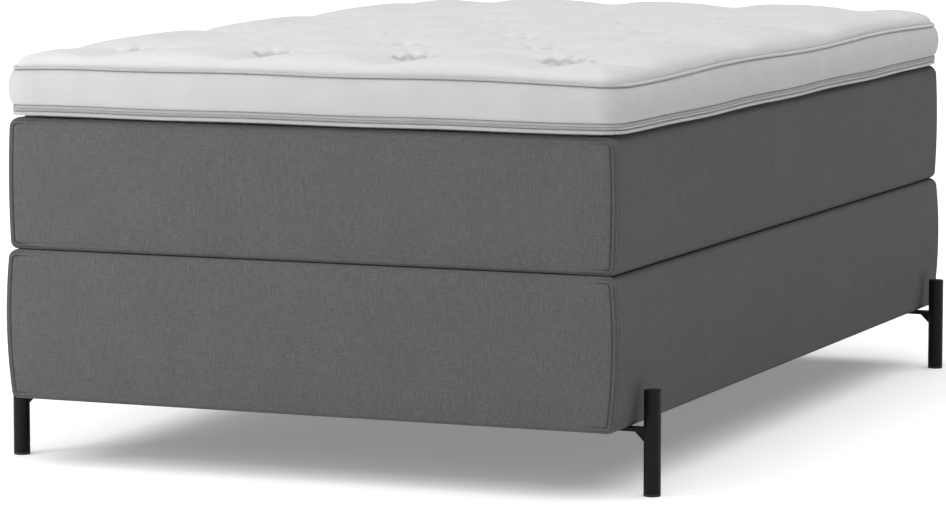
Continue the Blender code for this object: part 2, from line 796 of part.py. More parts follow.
def bracket_outline():
    """The flat bar in X and Y, coped round the tube at X zero and rounded at its inner end."""
    cope = LEG_RADIUS + GAP
    half = BRACKET_WIDTH / 2
    spread_angle = math.degrees(math.asin(half / cope))
    inner = -(LEG_RADIUS + BRACKET_REACH)
    outline = arc((0, 0), cope, 180 - spread_angle, 180 + spread_angle, BRACKET_STEPS)
    outline += arc((inner + half, 0), half, 270, 90, BRACKET_STEPS)
    return outline


def bracket_mesh():
    """The flat bar that carries the base."""
    return prism("leg_bracket", bracket_outline(), BRACKET_BOTTOM, BRACKET_TOP)


def gusset_mesh():
    """The triangular web under the bar, which reaches half way into it before they are joined."""
    edge = -(LEG_RADIUS + GAP)
    top = (BRACKET_TOP + BRACKET_BOTTOM) / 2
    tip = BRACKET_BOTTOM - GUSSET_LEG
    outline = [
        (edge, tip),
        (edge, top),
        (edge - GUSSET_LEG, top),
        (edge - GUSSET_LEG, BRACKET_BOTTOM),
    ]
    half = GUSSET_THICKNESS / 2
    rings = [[(x, y, z) for x, z in outline] for y in (-half, half)]
    return loft("leg_gusset", rings, closed=False, smooth_angle=None)


def bolt_mesh():
    """A bolt that points up, its domed head below the bar."""
    head = BOLT_HEAD_DIAMETER / 2
    shank = BOLT_DIAMETER / 2
    tip = BOLT_SEAT + BOLT_LENGTH
    profile = [(0, BOLT_SEAT - BOLT_HEAD_HEIGHT)]
    for radius_share, height_share in BOLT_DOME_SHARES:
        profile.append((head * radius_share, BOLT_SEAT - BOLT_HEAD_HEIGHT * height_share))
    profile += [(head, BOLT_SEAT), (shank, BOLT_SEAT)]
    profile += [(shank, tip - shank / 2), (shank / 2, tip), (0, tip)]
    return turned("leg_bolt", profile, BOLT_SIDES)


def socket_mesh():
    """The hexagon that cuts the socket into a bolt's head."""
    face = BOLT_SEAT - BOLT_HEAD_HEIGHT
    return rod_mesh(
        "bolt_socket", SOCKET_RADIUS, face - OVERRUN, face + BOLT_SOCKET_DEPTH, SOCKET_SIDES
    )


def build_legs():
    """Four legs, each a tube, a bracket with its web, a glide and two bolts."""
    tube = leg_tube_mesh()
    glide = leg_glide_mesh()
    bracket = bracket_mesh()
    gusset = gusset_mesh()
    bolt = bolt_mesh()
    socket = socket_mesh()
    hole = rod_mesh(
        "bracket_hole", BOLT_HOLE_RADIUS, BRACKET_BOTTOM - OVERRUN, UNDER_HEIGHT + OVERRUN, BOLT_SIDES
    )
    for end, y_sign in (("foot", -1), ("head", 1)):
        for side, x_sign in (("left", -1), ("right", 1)):
            suffix = f"{end}_{side}"
            place = (x_sign * LEG_X, y_sign * LEG_Y, 0)
            turn = 0.0 if x_sign > 0 else math.pi
            add_piece(f"leg_tube_{suffix}", tube, "black_steel", None, place, turn)
            add_piece(f"leg_glide_{suffix}", glide, "black_plastic", None, place, turn)
            bar = add_piece(f"leg_bracket_{suffix}", bracket, "black_steel", None, place, turn)
            apply_cut(bar, add_cutter(f"gusset_{suffix}", gusset, place, turn), "UNION")
            for number, x in enumerate(BOLT_PLACES, start=1):
                spot = (x_sign * x, y_sign * LEG_Y, 0)
                apply_cut(bar, add_cutter(f"bar_hole_{suffix}_{number}", hole, spot))
                screw = add_piece(f"leg_bolt_{suffix}_{number}", bolt, "zinc_steel", None, spot)
                apply_cut(screw, add_cutter(f"socket_{suffix}_{number}", socket, spot))


# Topper


def topper_outline(outset, side_spacing=None):
    """The topper's plan, grown by outset from the pipings' line, with its round corners."""
    half_x = TOPPER_HALF_WIDTH + outset
    half_y = TOPPER_HALF_LENGTH + outset
    radius = max(TOPPER_CORNER + outset, LEAST_RADIUS)
    centres = ((1, 1, 0), (-1, 1, 90), (-1, -1, 180), (1, -1, 270))
    outline = []
    for x_sign, y_sign, start in centres:
        centre = (x_sign * (half_x - radius), y_sign * (half_y - radius))
        outline += arc(centre, radius, start, start + 90, TOPPER_CORNER_STEPS)
    if side_spacing is None:
        return outline
    filled = []
    for first, second in zip(outline, outline[1:] + outline[:1]):
        filled.append(first)
        run = math.dist(first, second)
        pieces = max(1, round(run / side_spacing))
        for share in spread(0, 1, pieces)[1:-1]:
            point = Vector(first).lerp(Vector(second), share)
            filled.append((point.x, point.y))
    return filled


def topper_ring(outset, z):
    """The topper's plan as a ring at one height."""
    return [(x, y, z) for x, y in topper_outline(outset)]


def swept_ring(name, section):
    """Sweeps a closed section of outset and height points round the topper."""
    rings = [topper_ring(outset, z) for outset, z in section]
    return loft(name, rings, closed=True)


def piping_section(z):
    """The round section of a piping cord."""
    return arc((0, z), PIPING_RADIUS, 0, 360 - 360 / PIPING_SIDES, PIPING_SIDES - 1)


def border_section():
    """The padded border: flat inside and swollen outside."""
    section = [(INNER_LINE, BORDER_HIGH), (INNER_LINE, BORDER_LOW)]
    for share in BORDER_SHARES:
        swell = BORDER_SWELL * abs(math.sin(math.pi * share)) ** BORDER_POWER
        section.append((swell, BORDER_LOW + BORDER_HEIGHT * share))
    return section


def bottom_panel_mesh():
    """The underside cloth: a shallow tray with rounded edges and a rim behind the lower piping."""
    rim_top = CHAIN_LOW - GAP
    rings = [
        (FLAT_LINE, TOPPER_BOTTOM),
        (BEHIND_PIPING - UNDERSIDE_ROUND / 2, TOPPER_BOTTOM + BOTTOM_CLOTH / 3),
        (BEHIND_PIPING, LOWER_PIPING_Z - PIPING_RADIUS),
        (BEHIND_PIPING, rim_top),
        (INNER_LINE, rim_top),
        (INNER_LINE, TRAY_KNEE),
        (FLAT_LINE, TRAY_FLOOR),
    ]
    return loft("topper_bottom_panel", [topper_ring(o, z) for o, z in rings], closed=False)


def foam_core_mesh():
    """The topper's foam, with its lower edges rounded like the tray it lies in."""
    rings = [
        (FLAT_LINE, TRAY_FLOOR + GAP),
        (INNER_LINE - GAP, TRAY_KNEE + GAP),
        (INNER_LINE - GAP, BORDER_HIGH),
    ]
    return loft("topper_foam_core", [topper_ring(o, z) for o, z in rings], closed=False)


def band_section(outer, low, high):
    """A flat band from the inner line to outer."""
    return [(INNER_LINE, high), (INNER_LINE, low), (outer, low), (outer, high)]


def tuft_places():
    """The tufts, in rows of four and three that stand between each other."""
    places = []
    for row in range(TUFT_ROWS):
        count = TUFTS_IN_LONG_ROW if row % 2 == 0 else TUFTS_IN_LONG_ROW - 1
        y = (row - (TUFT_ROWS - 1) / 2) * TUFT_ROW_SPACING
        for column in range(count):
            places.append(((column - (count - 1) / 2) * TUFT_COLUMN_SPACING, y))
    return places


def edge_distance(x, y):
    """How far a point lies inside the quilt's outline."""
    half_x = TOPPER_HALF_WIDTH + BEHIND_PIPING
    half_y = TOPPER_HALF_LENGTH + BEHIND_PIPING
    radius = TOPPER_CORNER + BEHIND_PIPING
    qx = abs(x) - (half_x - radius)
    qy = abs(y) - (half_y - radius)
    outside = math.hypot(max(qx, 0), max(qy, 0))
    return radius - outside - min(max(qx, qy), 0)


def quilt_height(x, y, tufts):
    """The quilt's upper face: a round shoulder, a soft crown, puffs, and folds drawn into each tuft."""
    edge = max(edge_distance(x, y), 0)
    shoulder = min(edge / QUILT_SHOULDER, 1)
    rise = QUILT_CROWN * (1 - (1 - shoulder) ** SHOULDER_POWER)
    near = min(tufts, key=lambda tuft: math.dist(tuft, (x, y)))
    away = math.dist(near, (x, y))
    pull = TUFT_DEPTH * math.exp(-((away / TUFT_REACH) ** TUFT_POWER))
    puff = QUILT_PUFF * (1 - math.exp(-((away / QUILT_PUFF_REACH) ** 2))) * shoulder
    angle = math.atan2(y - near[1], x - near[0])
    reach = away / TUFT_REACH
    fold = TUFT_FOLD_HEIGHT * math.cos(TUFT_FOLDS * angle) * reach * math.exp(1 - FOLD_FADE * reach)
    return QUILT_LOW + QUILT_EDGE + rise + puff - pull + fold


def edge_points():
    """The quilt's outline, and the points of the rings inside it."""
    rings = []
    for inset_share, extra_share in EDGE_RING_SHARES:
        outset = BEHIND_PIPING - QUILT_SHOULDER * inset_share
        rings.append(topper_outline(outset, EDGE_SPACING * (1 + extra_share)))
    return rings[0], [point for ring in rings[1:] for point in ring]


def tuft_points(tuft):
    """A tuft's middle and the rings round it, each turned by half a step from the last."""
    points = [tuft]
    for ring, (share, count) in enumerate(TUFT_RING_SHARES):
        for spoke in range(count):
            angle = 2 * math.pi * (spoke + (ring % 2) / 2) / count
            x = tuft[0] + TUFT_REACH * share * math.cos(angle)
            y = tuft[1] + TUFT_REACH * share * math.sin(angle)
            points.append((x, y))
    return points


def fill_points(tufts):
    """Points between the tufts, in rows that stand between each other."""
    clear = TUFT_REACH * TUFT_RING_SHARES[-1][0] + FILL_CLEARANCE
    inside = QUILT_SHOULDER * EDGE_RING_SHARES[-1][0] + FILL_CLEARANCE
    rows = int(2 * TOPPER_HALF_LENGTH / FILL_SPACING)
    columns = int(2 * TOPPER_HALF_WIDTH / FILL_SPACING)
    points = []
    for row in range(rows + 1):
        for column in range(columns + 1):
            x = (column - columns / 2 + (row % 2) / 2 - 1 / 4) * FILL_SPACING
            y = (row - rows / 2) * FILL_SPACING
            away = min(math.dist((x, y), tuft) for tuft in tufts)
            if away > clear and edge_distance(x, y) > inside:
                points.append((x, y))
    return points


def quilt_mesh():
    """The tufted top: a triangle net through its points, closed by an edge and a flat underside."""
    tufts = tuft_places()
    outline, inner = edge_points()
    outline_count = len(outline)
    points = outline + inner + fill_points(tufts)
    for tuft in tufts:
        points += tuft_points(tuft)
    border = [list(range(outline_count))]
    places = [Vector(point) for point in points]
    flat, _, faces, _, _, _ = delaunay_2d_cdt(places, [], border, 1, SAME_POINT)
    bm = bmesh.new()
    upper = ring_verts(bm, [(p.x, p.y, quilt_height(p.x, p.y, tufts)) for p in flat])
    for face in faces:
        bm.faces.new([upper[i] for i in face])
    lower = ring_verts(bm, [(p.x, p.y, QUILT_LOW) for p in flat[:outline_count]])
    bridge(bm, upper[:outline_count], lower)
    bm.faces.new(lower)
    return mesh_from(bm, "topper_top_quilt", smooth_angle=QUILT_ANGLE)


def slider_mesh():
    """The zip slider: a channel over the chain with two lugs for the pull, its back on Y zero."""
    inner = SLIDER_INNER_HALF
    outer = SLIDER_HALF
    section = [
        (GAP, -outer),
        (SLIDER_FRONT, -outer),
        (SLIDER_FRONT, outer),
        (GAP, outer),
        (GAP, inner),
        (SLIDER_FACE, inner),
        (SLIDER_FACE, -inner),
        (GAP, -inner),
    ]
    rings = [[(x, y, z) for y, z in section] for x in (-SLIDER_LENGTH / 2, SLIDER_LENGTH / 2)]
    return loft("zip_slider", rings, closed=False, smooth_angle=None)


def lug_mesh(sign):
    """A lug above or below the pull, which starts inside the slider's plate before they are joined."""
    heights = sorted((sign * (SLIDER_HALF - LUG_HEIGHT), sign * SLIDER_HALF))
    low = (-LUG_LENGTH / 2, SLIDER_FRONT - SLIDER_PLATE / 2, heights[0])
    high = (LUG_LENGTH / 2, SLIDER_FRONT + LUG_REACH, heights[1])
    return box_mesh("slider_lug", low, high)


def pull_mesh():
    """The flat pull tab, with a neck that passes between the lugs."""
    neck = PULL_LENGTH * PULL_NECK_SHARE
    half = PULL_WIDTH / 2
    neck_half = PULL_PIN_HALF - GAP
    outline = [(0, -neck_half), (neck, -neck_half), (neck + half - neck_half, -half)]
    outline += arc((PULL_LENGTH - half, 0), half, -90, 90, PULL_STEPS)
    outline += [(neck + half - neck_half, half), (neck, neck_half), (0, neck_half)]
    side = PULL_THICKNESS / 2
    rings = [[(x, y, z) for x, z in outline] for y in (-side, side)]
    return loft("zip_pull", rings, closed=False, smooth_angle=None)


def build_zip(topper):
    """The slider and its pull, parked at the right of the head end."""
    back = TOPPER_HALF_LENGTH
    place = (SLIDER_PARKED, back, CHAIN_MIDDLE)
    run = add_empty("zip_slider_run", place, topper)
    slider = add_piece("zip_slider", slider_mesh(), "zip_metal", run, place)
    for name, sign in (("upper", 1), ("lower", -1)):
        apply_cut(slider, add_cutter(f"slider_lug_{name}", lug_mesh(sign), place), "UNION")
    pivot = (SLIDER_PARKED, back + PULL_AXIS, CHAIN_MIDDLE)
    swing = add_empty("zip_pull_pivot", pivot, run)
    pull = add_piece("zip_pull", pull_mesh(), "zip_metal", swing, pivot)
    pin = rod_mesh("pull_pin", PULL_PIN_RADIUS, -PULL_PIN_HALF, PULL_PIN_HALF, BOLT_SIDES)
    apply_cut(pull, add_cutter("pull_pin", pin, pivot), "UNION")


def build_topper(parent):
    """The topper's tufted top, border, pipings, zip, underside and foam core."""
    add_piece("topper_top_quilt", quilt_mesh(), "topper_cloth", parent)
    upper = swept_ring("topper_upper_piping", piping_section(UPPER_PIPING_Z))
    add_piece("topper_upper_piping", upper, "piping_cloth", parent)
    add_piece("topper_border", swept_ring("topper_border", border_section()), "border_cloth", parent)
    flap = swept_ring("topper_zip_flap", band_section(0, FLAP_LOW, FLAP_HIGH))
    add_piece("topper_zip_flap", flap, "border_cloth", parent)
    chain = swept_ring("topper_zip_chain", band_section(ZIP_CHAIN_PROUD, CHAIN_LOW, CHAIN_HIGH))
    add_piece("topper_zip_chain", chain, "zip_tape", parent)
    lower = swept_ring("topper_lower_piping", piping_section(LOWER_PIPING_Z))
    add_piece("topper_lower_piping", lower, "piping_cloth", parent)
    add_piece("topper_bottom_panel", bottom_panel_mesh(), "topper_cloth", parent)
    add_piece("topper_foam_core", foam_core_mesh(), "white_foam", parent)
    build_zip(parent)


def main():
    """Builds the bed from its legs up."""
    build_base()
    build_legs()
    mattress = add_empty("mattress_lift", (0, 0, MATTRESS.bottom))
    build_mattress(mattress)
    topper = add_empty("topper_lift", (0, 0, TOPPER_BOTTOM), mattress)
    build_topper(topper)


clear_scene()
MATERIALS = make_materials()
main()
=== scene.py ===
"""Box spring bed: dresses the fixed frame with its covers, topper, stitching and finishes.

Lengths are in metres, +Z is up and +Y is the head end. Each piece has an operator of its own.
"""

import math

import bmesh
import bpy
import numpy as np
from bpy.props import FloatProperty, FloatVectorProperty, PointerProperty
from bpy.types import Operator, Panel, PropertyGroup
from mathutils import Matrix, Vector, noise


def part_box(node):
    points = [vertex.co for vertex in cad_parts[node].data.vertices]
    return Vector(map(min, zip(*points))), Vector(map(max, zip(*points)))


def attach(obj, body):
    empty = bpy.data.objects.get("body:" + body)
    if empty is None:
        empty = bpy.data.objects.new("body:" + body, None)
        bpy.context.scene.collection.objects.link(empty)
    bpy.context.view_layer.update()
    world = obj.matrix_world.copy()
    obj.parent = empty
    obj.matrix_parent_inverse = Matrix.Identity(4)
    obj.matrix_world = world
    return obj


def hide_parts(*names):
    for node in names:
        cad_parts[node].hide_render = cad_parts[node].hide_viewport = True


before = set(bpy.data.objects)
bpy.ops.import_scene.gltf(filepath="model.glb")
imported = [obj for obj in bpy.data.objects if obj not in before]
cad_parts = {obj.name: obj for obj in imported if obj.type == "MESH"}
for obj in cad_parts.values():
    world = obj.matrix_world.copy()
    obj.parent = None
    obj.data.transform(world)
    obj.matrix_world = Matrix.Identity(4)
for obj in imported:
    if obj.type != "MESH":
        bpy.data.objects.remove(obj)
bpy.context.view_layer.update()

bl_info = {
    "name": "Box spring bed",
    "version": (1, 0, 0),
    "blender": (4, 5, 0),
    "location": "3D View > Sidebar > Bed",
    "description": "Dresses the frame of a box spring bed with its covers, topper and finishes",
    "category": "Object",
}

# Clearance between pieces, as in the frame
GAP = 0.0003

# Rings of a stitch, by their place along it and their share of its width
THREAD_RINGS = ((-0.5, 0.35), (-0.3, 1.0), (0.3, 1.0), (0.5, 0.35))

# Covers of the base and the mattress, which roll over the block's ends
COVER_THICKNESS = 0.0025
COVER_ROLL = 0.0100
ROLL_STEP = math.radians(5)
LEAST_RADIUS = 0.002
BASE_SECTION = {"low_radius": 0.013, "high_radius": 0.019, "swell": 0.0075, "tuck": 0.0040, "crown": 0.0035}
MATTRESS_SECTION = {"low_radius": 0.015, "high_radius": 0.020, "swell": 0.0030, "tuck": 0.0, "crown": 0.0045}
BASE_FLANGE = 0.040
FAR_FROM_SEAM = 1.0
COVER_SPACING = 0.018
COVER_WAVE = 0.16
PANEL_WAVE = 0.15
PANEL_SPACING = (0.016, 0.014)
PANEL_CORNER_STEPS = 14
PANEL_SIDE_STEPS = 20
LEAST_SPACING = 0.0004
WAVE_FADE = 0.05
LEAST_WAVE = 0.35
WAVE_FROM_EDGE = 0.03
CROWN_SHARE = 0.45
CROWN_POWER = 2.2

# Where a panel rolls over, its cloth is longer than its width seen from the end
ROLLED_WIDTH = 0.0060
ROLLED_STRETCH = 1.077
ROLLED_EXTRA = 0.0005

# Corner seams, with a row of topstitches on either side, a near-black thread sunk in each seam's groove as painted
# shade, and a swell of the cloth beyond it
SEAM_ANGLE = math.radians(53)
SEAM_INSET = COVER_ROLL * (1 - math.cos(SEAM_ANGLE))
SEAM_WIDTH = 0.0022
# How deep the seam's near-black thread, painted shade of the groove, sits, as a share of the seam's depth
SEAM_SUNK = 0.70
SEAM_SWELL = 0.012
SEAM_SWELL_SHARE = 0.4
SEAM_FADE_FROM = 0.020
SEAM_FADE_OVER = 0.040
SEAM_FADED = 0.95
# Pitch of that painted-shade thread in the seam, as a share of the stitch pitch
SEAM_SHADE_THREAD_PITCH = 0.7
STITCH_FROM_SEAM = 0.0078
STITCH_WIDTH = 0.0014
STITCH_LEAST_SHOWN = 0.55
STITCH_LENGTH_SHARE = 0.84
STITCH_THREAD = (0.0014, 0.0010)
PANEL_STITCH_FROM_SEAM = 0.0073
STRIP_STEPS = (0.0, 0.0012, 0.0028, 0.0050, 0.0080, 0.0120, 0.0180)
PANEL_STEPS = (
    *(0.0, 0.0007, 0.0015, 0.0024, 0.0034, 0.0045, 0.0056, 0.0066),
    *(0.0074, 0.0082, 0.0092, 0.0106, 0.0130, 0.0170, 0.0230),
)

# Plan and levels of the topper
TOPPER_HALF_WIDTH = 0.597
TOPPER_HALF_LENGTH = 0.996
TOPPER_CORNER = 0.038
TOPPER_SPACING = 0.012
SHARP_EDGE = 60
PIPING_SPACING = 0.008
PIPING_SIDES = 12
PIPING_RADIUS = 0.0028
BEHIND_PIPING = -(PIPING_RADIUS + GAP)
INNER_LINE = BEHIND_PIPING - 0.0022
FLAT_LINE = BEHIND_PIPING - 0.0200
TOPPER_BOTTOM = 0.6451
TRAY_FLOOR = 0.6481
TRAY_KNEE = 0.6516
LOWER_PIPING_Z = 0.6529
LOWER_PIPING_RADIUS = 0.0033
CHAIN_LOW = 0.6575
CHAIN_HIGH = 0.6617
FLAP_LOW = 0.6620
FLAP_HIGH = 0.6680
BORDER_LOW = 0.6683
BORDER_HIGH = 0.7363
SIDE_SWELL = 0.0040
UPPER_PIPING_Z = 0.7394
QUILT_LOW = 0.7366

# Border: the shares of its height that have a line, its swell, a crease along each edge, and ripples of a
# size, share and seed
BORDER_EDGE = (0.0, 0.012, 0.03)
BORDER_MIDDLE = (0.06, 0.94, 15)
BORDER_SWELL = 0.0085
BORDER_POWER = 0.7
CREASE_DEPTH = 0.0019
CREASE_WIDTH = 0.035
BORDER_RIPPLES = ((0.10, 1.0, 5), (0.045, 0.35, 6))
BORDER_RIPPLE_STRETCH = 1.6

# Waves of the topper's edges, each with its amount, crest and length, and where they set in and over what width
LONG_SIDE = (0.54, 0.05)
UPPER_SIDE_END = (0.985, 0.05)
UPPER_SIDE_LEVEL = -0.0042
UPPER_SIDE_CRESTS = (-0.35, 0.12)
UPPER_SIDE_WAVE = (0.0030, 0.0, 0.94)
UPPER_END_LEVEL = 0.0005
UPPER_END_WAVE = (0.0011, 0.28, 0.41)
UPPER_CORNER_DROOP = -0.0052
UPPER_DROOP_REACH = (0.40, 0.19)
UPPER_DROOP_POWER = 1.6
LOWER_SIDE_END = (0.99, 0.20)
LOWER_SIDE_LEVEL = -0.0022
LOWER_SIDE_WAVE = (0.0010, -0.26, 0.50)
LOWER_FOOT_END = (0.95, 0.04)
LOWER_FOOT_WAVE = (0.0006, -0.1, 0.37)

# Slanted stitches over the pipings; reach and rounding are angles round the cord
TICK_PITCH = 0.0036
TICK_REACH = 1.15
TICK_STEPS = 7
TICK_LEAN = 0.0011
TICK_HALF_WIDTH = 0.0008
TICK_ROUNDING = 1.25
TICK_LIFT = 0.0007
TICK_PROUD = 0.00012
TICK_SUNK = 0.0004

# Front of the band over the zip, the zip's tape, and its teeth of a length, width and height
FLAP_FRONT = ((-0.0004, 0.0), (0.0004, 0.0008), (0.0005, 0.0030), (-0.0004, 0.0050), (-0.0019, 0.0060))
TAPE_FRONT = -0.0004
TOOTH = (0.0036, 0.0012, 0.0011)
TOOTH_PROUD = 0.0003
TOOTH_LEAN = 0.35

# Underside of the topper: how it bends in, the shares at which it has a ring, and wrinkles of a size, amount and seed
UNDERSIDE_BEND = ((0.0085, -0.0003), (0.0140, 0.0022))
UNDERSIDE_RINGS = (0, 0.9, 26)
UNDERSIDE_LAST_RING = 0.985
UNDERSIDE_WRINKLES = (0.11, 0.0009, 8)

# Quilted top of the topper
QUILT_HALF_SIZES = np.array([TOPPER_HALF_WIDTH, TOPPER_HALF_LENGTH]) + BEHIND_PIPING
QUILT_RADIUS = TOPPER_CORNER + BEHIND_PIPING
QUILT_EDGE = 0.0025
QUILT_ROLL_HIGH = 0.0235
QUILT_ROLL_WIDE = 0.0330
QUILT_ROLL_POWER = 2.5
QUILT_CROWN = 0.0098
QUILT_CROWN_POWER = 2.5
QUILT_SHOULDER = 0.1250
QUILT_CORNER = (0.40, 0.80)
QUILT_CORNER_WIDTH = 0.19
QUILT_CORNER_DROP = 0.30
QUILT_LIFT_WIDTH = 0.03
EDGE_WAVE_REACH = 0.05
TUFT_DEPTH = 0.0350
DRAWN_POWER = 1.5
QUILT_THINNEST = 0.0018
QUILT_BOTTOMING = 0.0010
TUFT_REACH = 0.0780
TUFT_NARROWING = (0.82, 1.0)
TUFT_POWER = 2.1
TUFT_OVERHANG = 0.0300
OVERHANG_FROM_TUFT = 1.12 * TUFT_REACH
OVERHANG_WIDTH = 0.36 * TUFT_REACH
OVERHANG_FROM_EDGE = (0.045, 0.055)
VALLEY_DEPTH = 0.0150
VALLEY_WIDTH = 0.0500
FOLD_HEIGHT = 0.0102
FOLD_REACH = 0.68
FOLD_MEAN = 0.64
FOLDS = 11
TUFT_ROWS = 7
TUFTS_IN_LONG_ROW = 4
TUFT_ROW_SPACING = 0.2600
TUFT_COLUMN_SPACING = 0.2850
OUTER_COLUMN = 1.4 * TUFT_COLUMN_SPACING
OUTER_ROW = 2.9 * TUFT_ROW_SPACING

# Cloth simulation of the quilt, sewn down near its edge and its tufts
EDGE_SEWN = 0.004
TUFT_SEWN = 0.010
CLOTH_FRAMES = 16
CLOTH_SETTINGS = {
    "quality": 5,
    "mass": 0.3,
    "tension_stiffness": 15.0,
    "compression_stiffness": 15.0,
    "shear_stiffness": 5.0,
    "bending_stiffness": 5.0,
    "use_pressure": True,
    "uniform_pressure_force": 0.05,
    "shrink_min": -0.0015,
    "air_damping": 2.0,
}
CLOTH_CAP = 0.010
CLOTH_EVENED = 8

# Dust cloth, with wrinkles of a size, amount and seed, and its staples of a length, width and height
DUST_LIFT = 0.0006
DUST_SAG = 0.0035
DUST_SLACK_WIDTH = 0.20
DUST_WRINKLES = (0.12, 0.0012, 11)
DUST_THICKNESS = 0.0004
STAPLE = (0.0100, 0.0008, 0.0008)
STAPLE_INSET = 0.009
STAPLE_LIFT = 0.0002
STAPLE_PITCH = 0.070

# Camera, worked out from the bed's edges in the photograph
CAMERA_PLACE = (3.24195, -8.11807, 1.29819)
CAMERA_LENS = 166.6
CAMERA_DOWN = 6.5181
CAMERA_TURN = 22.2428

# Lights and floor
KEY_TOWARDS = (-0.03, 0.13, -1.0)
LEFT_PLACE = (-1.9, -2.9, 1.3)
LEFT_TARGET = (-0.3, -0.9, 0.45)
LEFT_SIZE = 1.2
FLOOR_HALF = 60.0
FLOOR_TONES = (0.93, 0.95)

# From one yarn of the grey cloth to the next, and the colour of the timber
YARN_PITCH = 0.0011
PINE = (0.64, 0.48, 0.30)

# Cloths: name, colour or its name, share of it, group, roughness, relief, sheen, and the group's own inputs
CLOTHS = (
    ("grey_fabric", "grey_fabric", 1.0, "melange", 1.0, 0.0004, 0.0, (0.24, 0.6)),
    # Thread, a twelfth as light as the grey cloth: real topstitches darkened as painted shade of their grooves, and the
    # seam's near-black thread, which is painted shade
    ("grey_thread", "grey_fabric", 0.12, "melange", 0.8, 0.0002, 0.0, (0.1, 0.2)),
    ("topper_cloth", "topper_cloth", 1.0, "knit", 0.9, 0.0003, 0.05, (0.0016, 0.02)),
    ("border_cloth", "border_cloth", 1.0, "knit", 0.9, 0.0003, 0.05, (0.0014, 0.03)),
    ("band_cloth", "border_cloth", 0.74, "knit", 0.9, 0.0003, 0.0, (0.0012, 0.03)),
    ("piping_cloth", "border_cloth", 0.80, "knit", 0.85, 0.0002, 0.05, (0.0010, 0.04)),
    ("piping_thread", "border_cloth", 1.14, "knit", 0.7, 0.0001, 0.0, (0.0006, 0.03)),
    ("zip_tape", "zip_tape", 1.0, "melange", 0.85, 0.0002, 0.0, (0.08, 0.5)),
    ("white_foam", (0.86, 0.85, 0.80), 1.0, "cells", 0.95, 0.0004, 0.0, (0.0016, 0.08)),
    ("blue_foam", (0.52, 0.64, 0.72), 1.0, "cells", 0.95, 0.0004, 0.0, (0.0013, 0.08)),
    ("felt", (0.45, 0.44, 0.42), 1.0, "cells", 1.0, 0.0003, 0.1, (0.0022, 0.30)),
    ("pocket_cloth", (0.78, 0.79, 0.79), 1.0, "cells", 0.95, 0.0002, 0.0, (0.0030, 0.05)),
    ("dust_cloth", (0.018, 0.018, 0.019), 1.0, "cells", 0.95, 0.0002, 0.0, (0.0028, 0.25)),
)

# Coats: name, colour or its name, share of it, roughness, metallic, gloss, and the group's grain and wear
COATS = (
    ("zip_teeth", "zip_tape", 1.25, 0.45, 0.0, 0.5, (0.0010, 0.1)),
    ("zip_metal", (0.55, 0.55, 0.56), 1.0, 0.32, 1.0, 0.5, (0.0009, 0.25)),
    ("black_steel", "steel", 1.0, 0.42, 0.0, 0.2, (0.0011, 0.35)),
    ("black_plastic", (0.016, 0.016, 0.016), 1.0, 0.52, 0.0, 0.5, (0.0007, 0.25)),
    ("zinc_steel", (0.56, 0.57, 0.58), 1.0, 0.36, 1.0, 0.5, (0.0010, 0.30)),
)

# Finishes by name, filled in by make_materials
MATERIALS = {}


# Sizes, colours and lights that a user may change


class BedSizes(PropertyGroup):
    """Sizes of the bed's covers, seams and stitches."""

    seam_depth: FloatProperty(
        name="Seam depth", description="How far the corner seams sink in", default=0.0044, unit="LENGTH"
    )
    stitch_depth: FloatProperty(
        name="Stitch depth", description="How far the topstitch lines sink in", default=0.0028, unit="LENGTH"
    )
    seam_puff: FloatProperty(
        name="Seam puff", description="How far the cloth puffs between seam and stitches", default=0.0006, unit="LENGTH"
    )
    stitch_pitch: FloatProperty(
        name="Stitch pitch", description="From one stitch to the next", default=0.0042, unit="LENGTH"
    )
    cover_wander: FloatProperty(
        name="Cover wander", description="Slow unevenness of the stretched covers", default=0.0009, unit="LENGTH"
    )
    border_ripple: FloatProperty(
        name="Border ripple", description="Soft ripples in the topper's border", default=0.0021, unit="LENGTH"
    )
    quilt_grid: FloatProperty(
        name="Quilt grid", description="Spacing of the quilt's mesh", default=0.0090, unit="LENGTH"
    )
    tooth_pitch: FloatProperty(
        name="Tooth pitch", description="From one zip tooth to the next", default=0.0020, unit="LENGTH"
    )


class BedColours(PropertyGroup):
    """Colours of the bed's cloths, zip and legs."""

    grey_fabric: FloatVectorProperty(
        name="Grey cloth", description="Cloth of the base and mattress", default=(0.122, 0.122, 0.122),
        subtype="COLOR", size=3, min=0.0, max=1.0,
    )
    topper_cloth: FloatVectorProperty(
        name="Top cloth", description="Cloth of the tufted top", default=(0.690, 0.694, 0.694),
        subtype="COLOR", size=3, min=0.0, max=1.0,
    )
    border_cloth: FloatVectorProperty(
        name="Border cloth", description="Cloth of the topper's border", default=(0.600, 0.608, 0.606),
        subtype="COLOR", size=3, min=0.0, max=1.0,
    )
    zip_tape: FloatVectorProperty(
        name="Zip tape", description="Tape and teeth of the zip", default=(0.45, 0.455, 0.46),
        subtype="COLOR", size=3, min=0.0, max=1.0,
    )
    steel: FloatVectorProperty(
        name="Black steel", description="Powder coat of the legs", default=(0.006, 0.006, 0.0065),
        subtype="COLOR", size=3, min=0.0, max=1.0,
    )


class BedLights(PropertyGroup):
    """Strength and spread of the lights round the bed."""

    key_strength: FloatProperty(
        name="Key light", description="Strength of the broad light from above the foot end", default=3.15
    )
    key_spread: FloatProperty(
        name="Key spread", description="Width of the broad light, seen from the bed", default=math.radians(100),
        subtype="ANGLE",
    )
    side_power: FloatProperty(
        name="Left light", description="Power of the light near the left foot corner", default=30.0, subtype="POWER"
    )
    floor_glow: FloatProperty(
        name="Floor glow", description="How far the floor's shadows are lifted in the picture", default=0.26
    )
    world_strength: FloatProperty(
        name="Room light", description="Strength of the light from all round", default=0.10
    )


# Mesh helpers


def rising(values, start, width):
    """Nought up to the start, and one from the start plus the width."""
    return np.clip((values - start) / width, 0, 1)


